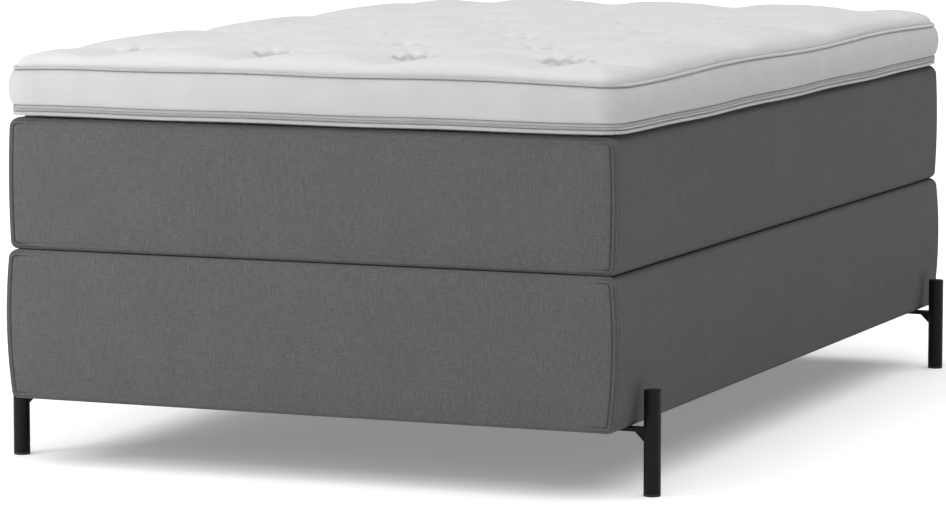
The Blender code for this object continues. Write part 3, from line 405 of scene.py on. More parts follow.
def falling(values, end, width):
    """One up to the end less the width, and nought from the end."""
    return np.clip((end - values) / width, 0, 1)


def bell(values, width):
    """One at nought, and fading away over a width to either side."""
    return np.exp(-((values / width) ** 2))


def swing(values, amount, crest, length):
    """An even wave with a crest at the given place."""
    return amount * np.cos(2 * np.pi * (values - crest) / length)


def unit(vectors):
    """The vectors brought to the length of one."""
    return vectors / np.linalg.norm(vectors, axis=1, keepdims=True)


def stood_up(plane, y):
    """Points or directions in X and Z, with their Y put between."""
    return np.column_stack([plane[:, 0], np.broadcast_to(y, len(plane)), plane[:, 1]])


def grid_faces(rows, columns, close_columns=False):
    """Quads of a lattice of points in rows."""
    faces = []
    last = columns if close_columns else columns - 1
    for row in range(rows - 1):
        for column in range(last):
            beside = (column + 1) % columns
            low = row * columns
            high = low + columns
            faces.append((low + column, low + beside, high + beside, high + column))
    return faces


def mesh_of(name, points, faces, sharp_angle=None):
    """Makes smooth mesh data from points and faces, all of them facing out."""
    mesh = bpy.data.meshes.new(name)
    mesh.from_pydata(np.asarray(points, float).reshape(-1, 3).tolist(), [], faces)
    bm = bmesh.new()
    bm.from_mesh(mesh)
    bmesh.ops.recalc_face_normals(bm, faces=bm.faces)
    bm.to_mesh(mesh)
    bm.free()
    mesh.shade_smooth()
    if sharp_angle is not None:
        mesh.set_sharp_from_angle(angle=math.radians(sharp_angle))
    return mesh


def new_object(name, data):
    """Puts data into the scene as an object."""
    made = bpy.data.objects.new(name, data)
    bpy.context.scene.collection.objects.link(made)
    return made


def sheet_mesh(name, lattice, direction):
    """An open sheet from a lattice, which looks in a direction."""
    mesh = mesh_of(name, lattice, grid_faces(*lattice.shape[:2]))
    looks = sum((face.normal * face.area for face in mesh.polygons), Vector())
    if looks.dot(Vector(direction)) < 0:
        mesh.flip_normals()
    return mesh


def ring_body(name, sections, sharp_angle=None):
    """A closed body from sections of shape (section points, places round, 3)."""
    rows, columns, _ = sections.shape
    faces = grid_faces(rows, columns, close_columns=True)
    last = (rows - 1) * columns
    for column in range(columns):
        beside = (column + 1) % columns
        faces.append((last + column, last + beside, beside, column))
    return mesh_of(name, sections, faces, sharp_angle)


def add_piece(name, mesh, finish, body, replaced=()):
    """Adds one piece that moves with a body and stands for the frame's nodes."""
    mesh.materials.clear()
    mesh.materials.append(MATERIALS[finish])
    piece = new_object(name, mesh)
    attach(piece, body)
    if replaced:
        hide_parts(*replaced)
    return piece


def keep_modifiers(piece):
    """Turns what the modifiers show into the piece's own mesh."""
    shown = piece.evaluated_get(bpy.context.evaluated_depsgraph_get())
    mesh = bpy.data.meshes.new_from_object(shown)
    piece.modifiers.clear()
    piece.data = mesh


def thicken(piece, thickness):
    """Gives an open cover its thickness, inwards."""
    solid = piece.modifiers.new("thickness", "SOLIDIFY")
    solid.thickness = thickness
    solid.offset = -1.0
    keep_modifiers(piece)


def outline_normals(outline):
    """Outward directions of a closed outline that runs anticlockwise."""
    along = np.roll(outline, -1, axis=0) - np.roll(outline, 1, axis=0)
    return unit(np.column_stack([along[:, 1], -along[:, 0]]))


def wander(points, size, amount, seed):
    """A slow, even unevenness at each point."""
    shift = Vector((seed * 3.7, seed * 1.3, seed * 2.1))
    flat = np.asarray(points, float).reshape(-1, 3)
    values = [noise.noise(Vector(point) / size + shift) for point in flat]
    return amount * np.array(values).reshape(np.shape(points)[:-1])


def add_scattered(name, finish, body, shape, places, along, out):
    """Adds a small shape at each place as one piece, its X along the seam and its Z out of the cloth."""
    points, faces = shape
    along = unit(along)
    out = unit(out - along * (out * along).sum(axis=1, keepdims=True))
    placed = np.repeat(places[:, None, :], len(points), axis=1)
    for part, way in zip(np.transpose(points), (along, np.cross(out, along), out)):
        placed = placed + part[None, :, None] * way[:, None, :]
    count = len(points)
    all_faces = [tuple(i + n * count for i in face) for n in range(len(places)) for face in faces]
    add_piece(name, mesh_of(name, placed, all_faces), finish, body)


def thread_shape(length, width, height, sides=6):
    """One stitch: a short rounded thread."""
    points = []
    for place, swell in THREAD_RINGS:
        for side in range(sides):
            angle = 2 * math.pi * side / sides
            turned = (swell * width / 2 * math.cos(angle), swell * height / 2 * math.sin(angle))
            points.append((place * length, *turned))
    faces = grid_faces(len(THREAD_RINGS), sides, close_columns=True)
    faces.append(tuple(range(sides)))
    faces.append(tuple(range(len(points) - sides, len(points))))
    return points, faces


def evenly(ring, pitch):
    """Places at a steady pitch round a ring, with the direction of the ring at each."""
    line = np.vstack([ring, ring[:1]])
    lengths = np.concatenate([[0], np.cumsum(np.linalg.norm(np.diff(line, axis=0), axis=1))])
    count = max(2, int(round(lengths[-1] / pitch)))
    marks = (np.arange(count) + 0.5) * lengths[-1] / count
    places, ahead, behind = (
        np.column_stack([np.interp(marks + reach, lengths, line[:, axis]) for axis in range(3)])
        for reach in (0, pitch / 4, -pitch / 4)
    )
    return places, ahead - behind


def nearest(spots, line):
    """The index of the line's point that is nearest to each spot."""
    return np.array([np.argmin(((line - spot) ** 2).sum(axis=1)) for spot in spots])


# Covered blocks: the base and the mattress


def block_of(node, section):
    """Sizes of a covered block, from its node in the frame."""
    low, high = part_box(node)
    swell_top = 0.5 * section["tuck"] + section["swell"]
    block = dict(section)
    block["low"] = low.z
    block["high"] = high.z
    block["half_length"] = high.y
    block["half_width"] = round(high.x - swell_top + section["tuck"], 3)
    return block


def arc(centre, radius, angles):
    """Points round a centre."""
    return np.column_stack([centre[0] + radius * np.cos(angles), centre[1] + radius * np.sin(angles)])


def side_line(block, inset, corner_steps, side_steps):
    """The right side of the block's outline, from its lower to its upper corner."""
    half_high = block["half_width"] - inset
    half_low = half_high - block["tuck"]
    low_radius = max(block["low_radius"] - inset, LEAST_RADIUS)
    high_radius = max(block["high_radius"] - inset, LEAST_RADIUS)
    side_low = block["low"] + inset + low_radius
    side_high = block["high"] - inset - high_radius
    turn = np.linspace(-math.pi / 2, 0, corner_steps + 1)
    lower = arc((half_low - low_radius, side_low), low_radius, turn)
    upper = arc((half_high - high_radius, side_high), high_radius, turn + math.pi / 2)
    share = np.linspace(0, 1, side_steps + 1)[1:-1]
    bulge = block["swell"] * 4 * share * (1 - share)
    across = half_low + (half_high - half_low) * share + bulge
    side = np.column_stack([across, side_low + (side_high - side_low) * share])
    return np.vstack([lower, side, upper])


def block_outline(block, inset, corner_steps=8, side_steps=14, flat_steps=20):
    """The block's whole outline in X and Z, anticlockwise from the middle of its underside."""
    right = side_line(block, inset, corner_steps, side_steps)
    marks = np.linspace(0, block["half_width"] - block["tuck"] - BASE_FLANGE, flat_steps + 1)
    lower = np.column_stack([np.minimum(marks, right[0, 0]), np.full(len(marks), right[0, 1])])
    across = right[-1, 0] * np.linspace(1, 0, flat_steps + 1)[1:]
    upper = np.column_stack([across, np.full(flat_steps, right[-1, 1])])
    half = np.vstack([lower, right, upper])
    return np.vstack([half, half[1:-1][::-1] * np.array([-1, 1])])


def seam_profile(away, sizes):
    """How far the cloth stands out, by its distance from the corner seam."""
    seam = sizes.seam_depth * bell(away, SEAM_WIDTH)
    stitch = sizes.stitch_depth * bell(away - STITCH_FROM_SEAM, STITCH_WIDTH)
    puff = sizes.seam_puff * np.sin(np.pi * rising(away, 0, STITCH_FROM_SEAM))
    swell = SEAM_SWELL_SHARE * sizes.seam_puff * np.sin(np.pi * rising(away, STITCH_FROM_SEAM, SEAM_SWELL))
    return puff + swell - seam - stitch


def seam_show(block, across):
    """How strongly the seam shows: fully up the corners, and little along the level edges."""
    inward = block["half_width"] - np.abs(across)
    return 1 - SEAM_FADED * rising(inward, SEAM_FADE_FROM, SEAM_FADE_OVER)


def wrap_stations(block):
    """Places along the block, with the inset, the lean of the cloth and the distance from the seam."""
    half = block["half_length"]
    stations = []
    for angle in np.arange(SEAM_ANGLE, 0, -ROLL_STEP):
        inset = COVER_ROLL * (1 - math.cos(angle))
        stations.append((half - COVER_ROLL * (1 - math.sin(angle)), inset, angle, COVER_ROLL * (SEAM_ANGLE - angle)))
    for beyond in STRIP_STEPS:
        stations.append((half - COVER_ROLL - beyond, 0.0, 0.0, COVER_ROLL * SEAM_ANGLE + beyond))
    flange = half - BASE_FLANGE
    for place in np.linspace(flange, 0, int(flange / COVER_SPACING) + 1):
        stations.append((place, 0.0, 0.0, FAR_FROM_SEAM))
    other_half = [(-place, inset, -lean, away) for place, inset, lean, away in reversed(stations[:-1])]
    return stations + other_half


def wrap_points(block, sizes, seed):
    """The lattice of the cloth strip round the block."""
    rows = []
    for place, inset, lean, away in wrap_stations(block):
        outline = block_outline(block, inset)
        ring = stood_up(outline, place)
        normal = stood_up(outline_normals(outline) * math.cos(lean), math.sin(lean))
        stand = seam_profile(np.full(len(outline), away), sizes) * seam_show(block, outline[:, 0])
        fade = LEAST_WAVE + (1 - LEAST_WAVE) * rising(away, 0, WAVE_FADE)
        levels = outline[:, 1]
        upright = rising(levels, block["low"], WAVE_FROM_EDGE) * falling(levels, block["high"], WAVE_FROM_EDGE)
        soft = wander(ring, COVER_WAVE, sizes.cover_wander, seed) * fade * upright
        rows.append(ring + normal * (stand + soft)[:, None])
    return np.array(rows)


def add_cover(name, mesh, body, replaced):
    """Adds a grey cover with its thickness."""
    piece = add_piece(name, mesh, "grey_fabric", body, (replaced,))
    thicken(piece, COVER_THICKNESS - GAP)


def cover_strip(name, block, sizes, body, replaced, seed, opening=None):
    """The cloth strip round the long sides, top and underside, with an opening in the underside."""
    points = wrap_points(block, sizes, seed)
    rows, columns, _ = points.shape
    faces = grid_faces(rows, columns, close_columns=True)
    if opening is not None:
        middles = points.reshape(-1, 3)[np.array(faces)].mean(axis=1)
        below = middles[:, 2] < block["low"] + 0.01
        under = below & (np.abs(middles[:, :2]) < opening).all(axis=1)
        faces = [face for face, gone in zip(faces, under) if not gone]
    mesh = mesh_of(name, points, faces)
    sample = max(mesh.polygons, key=lambda face: face.center.z)
    if sample.normal.z < 0:
        mesh.flip_normals()
    add_cover(name, mesh, body, replaced)


def line_distance(points, line):
    """How far each point in a plane is from a closed line."""
    best = np.full(len(points), np.inf)
    for start, end in zip(line, np.roll(line, -1, axis=0)):
        run = end - start
        share = np.clip(((points - start) @ run) / max(run @ run, 1e-12), 0, 1)
        near = start + share[:, None] * run
        best = np.minimum(best, ((points - near) ** 2).sum(axis=1))
    return np.sqrt(best)


def marks_across(width, spacing):
    """Distances from one edge to the other, close together near both edges."""
    edge = np.array(PANEL_STEPS)
    inner = width - 2 * edge[-1]
    count = max(1, int(round(inner / spacing)))
    middle = edge[-1] + inner * np.arange(1, count) / count
    return np.concatenate([edge, middle, width - edge[::-1]])


def panel_profile(block, away, show, sizes):
    """How far an end panel stands beyond the block's end, by the distance from its seam."""
    inset = SEAM_INSET + away
    rolled = np.clip(1 - inset / COVER_ROLL, 0, 1)
    roll = -COVER_ROLL * (1 - np.sqrt(1 - rolled**2))
    depth = (block["high"] - block["low"]) / 2
    share = rising(inset, COVER_ROLL, CROWN_SHARE * depth)
    crown = block["crown"] * (1 - (1 - share) ** CROWN_POWER)
    flat_away = np.where(away < ROLLED_WIDTH, away * ROLLED_STRETCH, away + ROLLED_EXTRA)
    return roll + crown + seam_profile(flat_away, sizes) * show


def both_sides(right):
    """A closed outline in X and Z from its right side."""
    return np.vstack([right, right[::-1] * np.array([-1, 1])])


def panel_edge(block):
    """The line on which an end panel is sewn in, in X and Z."""
    return both_sides(side_line(block, SEAM_INSET + GAP / 2, PANEL_CORNER_STEPS, PANEL_SIDE_STEPS))


def end_panel(name, block, sizes, body, replaced, sign, seed):
    """A crowned panel sewn into one end of the cover."""
    edge = panel_edge(block)
    right = edge[: len(edge) // 2]
    corner = PANEL_CORNER_STEPS + 1
    height = right[-1, 1] - right[0, 1]
    levels = right[0, 1] + marks_across(height, PANEL_SPACING[1])
    levels = np.sort(np.concatenate([levels, right[:corner, 1], right[-corner:, 1]]))
    kept = [levels[0]]
    for level in levels[1:]:
        if level - kept[-1] > LEAST_SPACING:
            kept.append(level)
    kept[-1] = right[-1, 1]
    widest = right[:, 0].max()
    across = marks_across(2 * widest, PANEL_SPACING[0]) / widest - 1
    reach = np.interp(kept, right[:, 1], right[:, 0])
    plane = np.dstack([np.outer(reach, across), np.broadcast_to(np.array(kept)[:, None], (len(kept), len(across)))])
    away = line_distance(plane.reshape(-1, 2), edge).reshape(plane.shape[:2])
    stand = panel_profile(block, away, seam_show(block, plane[..., 0]), sizes)
    points = np.dstack([plane[..., 0], np.full(away.shape, sign * 1.0), plane[..., 1]])
    stand = stand + wander(points, PANEL_WAVE, sizes.cover_wander, seed) * rising(away, 0, WAVE_FADE)
    points[..., 1] = sign * (block["half_length"] + stand)
    add_cover(name, sheet_mesh(name, points, (0, sign, 0)), body, replaced)


def stitch_row(block, line, y, pitch):
    """Places and directions of the stitches along a line in X and Z, where the seam shows."""
    spots, run = evenly(stood_up(line, y), pitch)
    shown = seam_show(block, spots[:, 0]) > STITCH_LEAST_SHOWN
    return spots[shown], run[shown]


def cover_stitches(name, block, sizes, body, sign):
    """Two rows of topstitches beside the seam and a near-black thread sunk in the seam's groove, at one end; the sunk
    thread and the threads' darkness are painted shade.
    """
    end = block["half_length"]
    pitch = sizes.stitch_pitch
    line = both_sides(side_line(block, SEAM_INSET + PANEL_STITCH_FROM_SEAM, PANEL_CORNER_STEPS, PANEL_SIDE_STEPS))
    stand = panel_profile(block, np.full(len(line), PANEL_STITCH_FROM_SEAM), seam_show(block, line[:, 0]), sizes)
    spots, run = stitch_row(block, line, sign * (end + stand), pitch)
    rows = [(spots, run, np.tile([0.0, sign, 0.0], (len(spots), 1)))]
    sunk = SEAM_SUNK * sizes.seam_depth
    # The first row lies in the cover beside the seam; the second is the near-black thread sunk in the seam's groove,
    # painted shade
    for angle, depth, fades, back, step, facing in (
        (SEAM_ANGLE - STITCH_FROM_SEAM / COVER_ROLL, sizes.stitch_depth, True, 0.0, pitch, 0.0),
        (SEAM_ANGLE, math.cos(SEAM_ANGLE) * sunk, False, math.sin(SEAM_ANGLE) * sunk, pitch * SEAM_SHADE_THREAD_PITCH, sign),
    ):
        outline = block_outline(block, COVER_ROLL * (1 - math.cos(angle)), corner_steps=PANEL_CORNER_STEPS)
        normal = outline_normals(outline)
        drawn_in = outline - normal * depth * (seam_show(block, outline[:, :1]) if fades else 1.0)
        spots, run = stitch_row(block, drawn_in, sign * (end - COVER_ROLL * (1 - math.sin(angle)) - back), step)
        rows.append((spots, run, stood_up(normal[nearest(spots[:, [0, 2]], outline)], facing)))
    places, along, out = (np.vstack(part) for part in zip(*rows))
    # Near-black threads: darkened topstitches and the seam's groove thread, painted shade
    shape = thread_shape(pitch * STITCH_LENGTH_SHARE, *STITCH_THREAD)
    add_scattered(name, "grey_thread", body, shape, places, along, out)


def dress_block(prefix, section, body, seed, sizes):
    """Cover strip, end panels and stitches of one block."""
    block = block_of(f"{prefix}_cover_wrap", section)
    opening = None
    if prefix == "base":
        opening = (block["half_width"] - block["tuck"] - BASE_FLANGE, block["half_length"] - BASE_FLANGE)
    cover_strip(f"{prefix}_cover", block, sizes, body, f"{prefix}_cover_wrap", seed, opening)
    for end, sign in (("foot", -1), ("head", 1)):
        node = f"{prefix}_end_panel_{end}"
        end_panel(f"{prefix}_cover_{end}", block, sizes, body, node, sign, seed + sign)
        cover_stitches(f"{prefix}_stitches_{end}", block, sizes, body, sign)


# Topper


def topper_path(spacing):
    """The pipings' line round the topper: places and outward directions in X and Y, anticlockwise."""
    x, y = TOPPER_HALF_WIDTH, TOPPER_HALF_LENGTH
    inner_x, inner_y = x - TOPPER_CORNER, y - TOPPER_CORNER
    places = []
    out = []
    straights = (
        ((x, -inner_y), (x, inner_y)),
        ((inner_x, y), (-inner_x, y)),
        ((-x, inner_y), (-x, -inner_y)),
        ((-inner_x, -y), (inner_x, -y)),
    )
    for quarter, (start, end) in enumerate(straights):
        start = np.array(start)
        end = np.array(end)
        count = int(round(np.linalg.norm(end - start) / spacing))
        places.append(start + (end - start) * np.arange(count)[:, None] / count)
        face = quarter * math.pi / 2
        normal = np.array([math.cos(face), math.sin(face)])
        out.append(np.tile(normal, (count, 1)))
        steps = max(4, int(round(TOPPER_CORNER * math.pi / 2 / spacing)))
        angles = face + np.arange(steps) / steps * math.pi / 2
        turned = np.column_stack([np.cos(angles), np.sin(angles)])
        places.append(end - normal * TOPPER_CORNER + TOPPER_CORNER * turned)
        out.append(turned)
    return np.vstack(places), np.vstack(out)


def upper_wave(places):
    """How far the topper's upper edge lies above its level, round the bed."""
    x = places[..., 0]
    y = places[..., 1]
    long_side = rising(np.abs(x), *LONG_SIDE) * falling(np.abs(y), *UPPER_SIDE_END)
    from_crest = np.where(x > 0, y - UPPER_SIDE_CRESTS[0], UPPER_SIDE_CRESTS[1] - y)
    along_side = UPPER_SIDE_LEVEL + swing(from_crest, *UPPER_SIDE_WAVE)
    droop = UPPER_CORNER_DROOP * rising(np.abs(x), *UPPER_DROOP_REACH) ** UPPER_DROOP_POWER
    across_end = UPPER_END_LEVEL + swing(x, *UPPER_END_WAVE) + droop
    return long_side * along_side + (1 - long_side) * across_end


def lower_wave(places):
    """How far the topper's lower edge hangs, fading out at the head end where the zip's slider runs."""
    x = places[..., 0]
    y = places[..., 1]
    side = rising(np.abs(x), *LONG_SIDE) * falling(np.abs(y), *LOWER_SIDE_END)
    hang = LOWER_SIDE_LEVEL + swing(y, *LOWER_SIDE_WAVE)
    return side * hang + rising(-y, *LOWER_FOOT_END) * swing(x, *LOWER_FOOT_WAVE)


def swept(spacing, section):
    """Sections of outset, height and fullness at the long sides set round the topper, raised by the waves."""
    path, out = topper_path(spacing)
    rows = []
    for outset, height, *fuller in section:
        plan = path + out * (outset + sum(fuller) * np.abs(out[:, :1]))
        rows.append(np.column_stack([plan, height + edge_rise(path, height)]))
    return np.array(rows)


def edge_rise(path, height):
    """The waves of the upper and the lower edge, shared by height between them."""
    share = rising(height, FLAP_HIGH, BORDER_HIGH - FLAP_HIGH)
    return lower_wave(path) * (1 - share) + upper_wave(path) * share


def add_topper_ring(name, points, finish, node):
    """Adds a closed ring of the topper."""
    piece = add_piece(name, ring_body(name, points, SHARP_EDGE), finish, "topper", (node,))


def build_border(sizes):
    """The swollen border, rippled softly and flat at the back."""
    _, out = topper_path(TOPPER_SPACING)
    section = [(INNER_LINE, BORDER_HIGH), (INNER_LINE, (BORDER_HIGH + BORDER_LOW) / 2), (INNER_LINE, BORDER_LOW)]
    back = len(section)
    shares = np.concatenate([BORDER_EDGE, np.linspace(*BORDER_MIDDLE), 1 - np.array(BORDER_EDGE)[::-1]])
    for share in shares:
        crease = CREASE_DEPTH * bell(min(share, 1 - share), CREASE_WIDTH)
        swell = BORDER_SWELL * abs(math.sin(math.pi * share)) ** BORDER_POWER - crease
        upper = math.sin(math.pi * min(share, 0.999)) ** BORDER_POWER
        fuller = SIDE_SWELL * (1.0 if share < 0.5 else upper)
        section.append((swell, BORDER_LOW + (BORDER_HIGH - BORDER_LOW) * share, fuller))
    points = swept(TOPPER_SPACING, section)
    for row, share in enumerate(shares, start=back):
        stretched = points[row] * np.array([1, 1, BORDER_RIPPLE_STRETCH])
        ripple = sum(
            wander(stretched, size, part * sizes.border_ripple, seed) for size, part, seed in BORDER_RIPPLES
        )
        points[row, :, :2] += out * (ripple * abs(math.sin(math.pi * share)) ** 0.5)[:, None]
    add_topper_ring("topper_border_cloth", points, "border_cloth", "topper_border")


def piping_line(level):
    """The line of a piping round the topper, with the direction out of the topper."""
    path, out = topper_path(PIPING_SPACING)
    line = np.column_stack([path, level + edge_rise(path, level)])
    return line, np.column_stack([out, np.zeros(len(out))])


def build_piping(name, level, radius, node):
    """A corded edge, with the fine slanted stitches that bind it."""
    line, out = piping_line(level)
    line = line + out * (radius - PIPING_RADIUS)
    section = []
    for side in range(PIPING_SIDES):
        angle = 2 * math.pi * side / PIPING_SIDES
        section.append(line + out * radius * math.cos(angle) + np.array([0, 0, radius * math.sin(angle)]))
    piece = add_piece(name, ring_body(name, np.array(section)), "piping_cloth", "topper", (node,))
    build_ticks(f"{name}_stitches", line, out, radius)


def build_ticks(name, line, out, cord_radius):
    """Slanted stitches over the outside of a piping."""
    spots, run = evenly(line, TICK_PITCH)
    steps = np.linspace(-TICK_REACH, TICK_REACH, TICK_STEPS)
    points = []
    for step in steps:
        lean = TICK_LEAN * step / TICK_REACH
        half = TICK_HALF_WIDTH * math.sqrt(max(0.1, 1 - (step / TICK_ROUNDING) ** 2))
        for side, lift in ((-1, 0.0), (0, TICK_LIFT), (1, 0.0)):
            reach = cord_radius + TICK_PROUD + lift
            points.append((lean + side * half, reach * math.sin(step), reach * math.cos(step)))
    sunk = cord_radius - TICK_SUNK
    points += [(0.0, sunk * math.sin(step), sunk * math.cos(step)) for step in steps]
    faces = grid_faces(TICK_STEPS, 3)
    back = 3 * TICK_STEPS
    for step in range(TICK_STEPS - 1):
        low = 3 * step
        faces.append((low + 3, low, back + step, back + step + 1))
        faces.append((low + 2, low + 5, back + step + 1, back + step))
    faces.append((0, 1, 2, back))
    faces.append((back - 1, back - 2, back - 3, back + TICK_STEPS - 1))
    add_scattered(name, "piping_thread", "topper", (points, faces), spots, run, out[nearest(spots, line)])


def build_zip(sizes):
    """The band above the zip, the zip's tape and its teeth."""
    section = [(INNER_LINE, FLAP_HIGH), (INNER_LINE, FLAP_LOW)]
    section += [(outset, FLAP_LOW + height, SIDE_SWELL) for outset, height in FLAP_FRONT]
    add_topper_ring("topper_zip_band", swept(TOPPER_SPACING, section), "band_cloth", "topper_zip_flap")
    section = [(INNER_LINE, CHAIN_HIGH), (INNER_LINE, CHAIN_LOW)]
    section += [(TAPE_FRONT, CHAIN_LOW, SIDE_SWELL), (TAPE_FRONT, CHAIN_HIGH, SIDE_SWELL)]
    add_topper_ring("topper_zip_tape", swept(TOPPER_SPACING, section), "zip_tape", "topper_zip_chain")
    line, out = piping_line((CHAIN_LOW + CHAIN_HIGH) / 2)
    spots, run = evenly(line, sizes.tooth_pitch)
    out = out[nearest(spots, line)]
    places = spots + out * (TOOTH_PROUD + SIDE_SWELL * np.abs(out[:, :1]))
    along = unit(run) * TOOTH_LEAN + np.array([0.0, 0.0, 1.0])
    add_scattered("topper_zip_teeth", "zip_teeth", "topper", thread_shape(*TOOTH), places, along, out)


def build_underside():
    """The underside cloth: a shallow tray with soft wrinkles."""
    path, out = topper_path(TOPPER_SPACING)
    rim_top = CHAIN_LOW - GAP
    rim_low = LOWER_PIPING_Z - PIPING_RADIUS
    (first_in, first_up), (last_in, last_up) = UNDERSIDE_BEND
    section = [
        (INNER_LINE, rim_top),
        (BEHIND_PIPING, rim_top),
        (BEHIND_PIPING, rim_low),
        (BEHIND_PIPING - first_in, rim_low + first_up),
        (BEHIND_PIPING - last_in, TOPPER_BOTTOM + last_up),
        (FLAT_LINE, TOPPER_BOTTOM),
    ]
    rings = list(swept(TOPPER_SPACING, section))
    first_flat = len(rings) - 1
    shares = [*np.linspace(*UNDERSIDE_RINGS)[1:], UNDERSIDE_LAST_RING]
    rings += [flat_ring(path, out, share, TOPPER_BOTTOM) for share in shares]
    under = np.array(rings)
    wave = wander(under[first_flat:] * np.array([1, 1, 0]), *UNDERSIDE_WRINKLES)
    under[first_flat:, :, 2] += np.abs(wave) * np.linspace(0, 1, len(wave))[:, None] ** 0.3
    inner = [flat_ring(path, out, share, TRAY_FLOOR) for share in (UNDERSIDE_LAST_RING, 0.5, 0.0)]
    rows = np.vstack([under, inner, swept(TOPPER_SPACING, [(INNER_LINE, TRAY_KNEE)])])
    add_topper_ring("topper_underside", rows, "topper_cloth", "topper_bottom_panel")


def flat_ring(path, out, share, z):
    """A level ring of the underside, which shrinks by a share towards a line down the middle."""
    half = np.array([TOPPER_HALF_WIDTH, TOPPER_HALF_LENGTH]) + FLAT_LINE
    ring = (path + out * FLAT_LINE) * ((half - half[0] * share) / half)
    return np.column_stack([ring, np.full(len(ring), z)])


def tuft_places():
    """The tufts, in rows of four and three that stand between each other."""
    places = []
    for row in range(TUFT_ROWS):
        count = TUFTS_IN_LONG_ROW if row % 2 == 0 else TUFTS_IN_LONG_ROW - 1
        y = (row - (TUFT_ROWS - 1) / 2) * TUFT_ROW_SPACING
        for column in range(count):
            places.append(((column - (count - 1) / 2) * TUFT_COLUMN_SPACING, y))
    return np.array(places)


def edge_distance(plan):
    """How far points lie inside the quilt's outline."""
    beyond = np.abs(plan) - (QUILT_HALF_SIZES - QUILT_RADIUS)
    outside = np.linalg.norm(np.maximum(beyond, 0), axis=-1)
    return QUILT_RADIUS - outside - np.minimum(beyond.max(axis=-1), 0)


def quilt_plan(spacing):
    """A lattice over the quilt's plan, with its rows drawn in at the round corners."""
    inner_x, inner_y = QUILT_HALF_SIZES - QUILT_RADIUS
    low = -inner_y - QUILT_RADIUS * np.sin(np.linspace(math.pi / 2, 0, 7))[:-1]
    count = int(round(2 * inner_y / spacing))
    levels = np.concatenate([low, np.linspace(-inner_y, inner_y, count + 1), -low[::-1]])
    across = np.linspace(-1, 1, int(round(2 * QUILT_HALF_SIZES[0] / spacing)) + 1)
    rows = []
    for y in levels:
        beyond = max(0.0, abs(y) - inner_y)
        reach = inner_x + math.sqrt(max(0.0, QUILT_RADIUS**2 - beyond**2))
        rows.append(np.column_stack([across * reach, np.full(len(across), y)]))
    return np.array(rows)


def tuft_net(tufts):
    """The lines from the outer tufts to the edge, along which the cloth is drawn down."""
    lines = []
    for x, y in tufts:
        if abs(x) > OUTER_COLUMN:
            lines.append(((x, y), (math.copysign(TOPPER_HALF_WIDTH, x), y)))
        if abs(y) > OUTER_ROW:
            lines.append(((x, y), (x, math.copysign(TOPPER_HALF_LENGTH, y))))
    return np.array(lines)


def valleys(plan, tufts):
    """How far each point is drawn down by the lines of the net."""
    deepest = np.zeros(plan.shape[:2])
    for start, end in tuft_net(tufts):
        run = end - start
        share = np.clip(((plan - start) @ run) / (run @ run), 0, 1)
        away = np.linalg.norm(plan - start - share[..., None] * run, axis=-1)
        deepest = np.maximum(deepest, VALLEY_DEPTH * bell(away, VALLEY_WIDTH))
    return deepest


def quilt_height(plan, tufts):
    """The quilt before it is blown up: shoulder, crown, puffs and folds drawn into each tuft."""
    edge = np.maximum(edge_distance(plan), 0)
    shoulder = np.minimum(edge / QUILT_SHOULDER, 1)
    rolled = 1 - np.minimum(edge / QUILT_ROLL_WIDE, 1)
    roll = QUILT_ROLL_HIGH * (1 - rolled**QUILT_ROLL_POWER) ** (1 / QUILT_ROLL_POWER)
    rise = QUILT_CROWN * (1 - (1 - shoulder) ** QUILT_CROWN_POWER) + roll
    rise = rise * (1 - QUILT_CORNER_DROP * rising(np.abs(plan), QUILT_CORNER, QUILT_CORNER_WIDTH).prod(axis=-1))
    gaps = np.linalg.norm((plan[..., None, :] - tufts) * TUFT_NARROWING, axis=-1)
    near = gaps.argmin(axis=-1)
    reach = gaps.min(axis=-1) / TUFT_REACH
    offset = plan - tufts[near]
    angle = np.arctan2(offset[..., 1], offset[..., 0])
    pull = TUFT_DEPTH * np.exp(-(reach**TUFT_POWER))
    valley = valleys(plan, tufts) * (1 - (1 - shoulder) ** 2)
    turn = 2.4 * near + np.sin(3.1 * near) + 0.5 * np.sin(2 * angle + near)
    folds = np.abs(np.cos(FOLDS / 2 * angle + turn)) - FOLD_MEAN
    gathered = (reach / FOLD_REACH) ** 2
    fold = FOLD_HEIGHT * folds * gathered * np.exp(1 - gathered)
    drawn = (valley**DRAWN_POWER + pull**DRAWN_POWER) ** (1 / DRAWN_POWER)
    return QUILT_LOW + QUILT_EDGE + rise - drawn + fold


def overhang(plan, tufts):
    """How far the puffs bulge over the tufts between them, in X and Y."""
    offsets = plan[..., None, :] - tufts
    away = np.linalg.norm(offsets * TUFT_NARROWING, axis=-1)
    near = away.argmin(axis=-1)[..., None]
    offset = np.take_along_axis(offsets, near[..., None], axis=-2)[..., 0, :]
    away = np.take_along_axis(away, near, axis=-1)
    inward = TUFT_OVERHANG * bell(away - OVERHANG_FROM_TUFT, OVERHANG_WIDTH)
    inward = inward * rising(edge_distance(plan)[..., None], *OVERHANG_FROM_EDGE)
    return -inward * offset / np.maximum(away, 1e-6)


def finer(lattice):
    """The lattice with a smooth point put between each pair of neighbours, both ways."""
    for _ in range(2):
        padded = np.concatenate([lattice[:1], lattice, lattice[-1:]])
        near = [padded[shift : shift + len(lattice) - 1] for shift in range(4)]
        made = np.empty((2 * len(lattice) - 1, *lattice.shape[1:]))
        made[::2] = lattice
        made[1::2] = (9 * (near[1] + near[2]) - near[0] - near[3]) / 16
        lattice = made.swapaxes(0, 1)
    return lattice


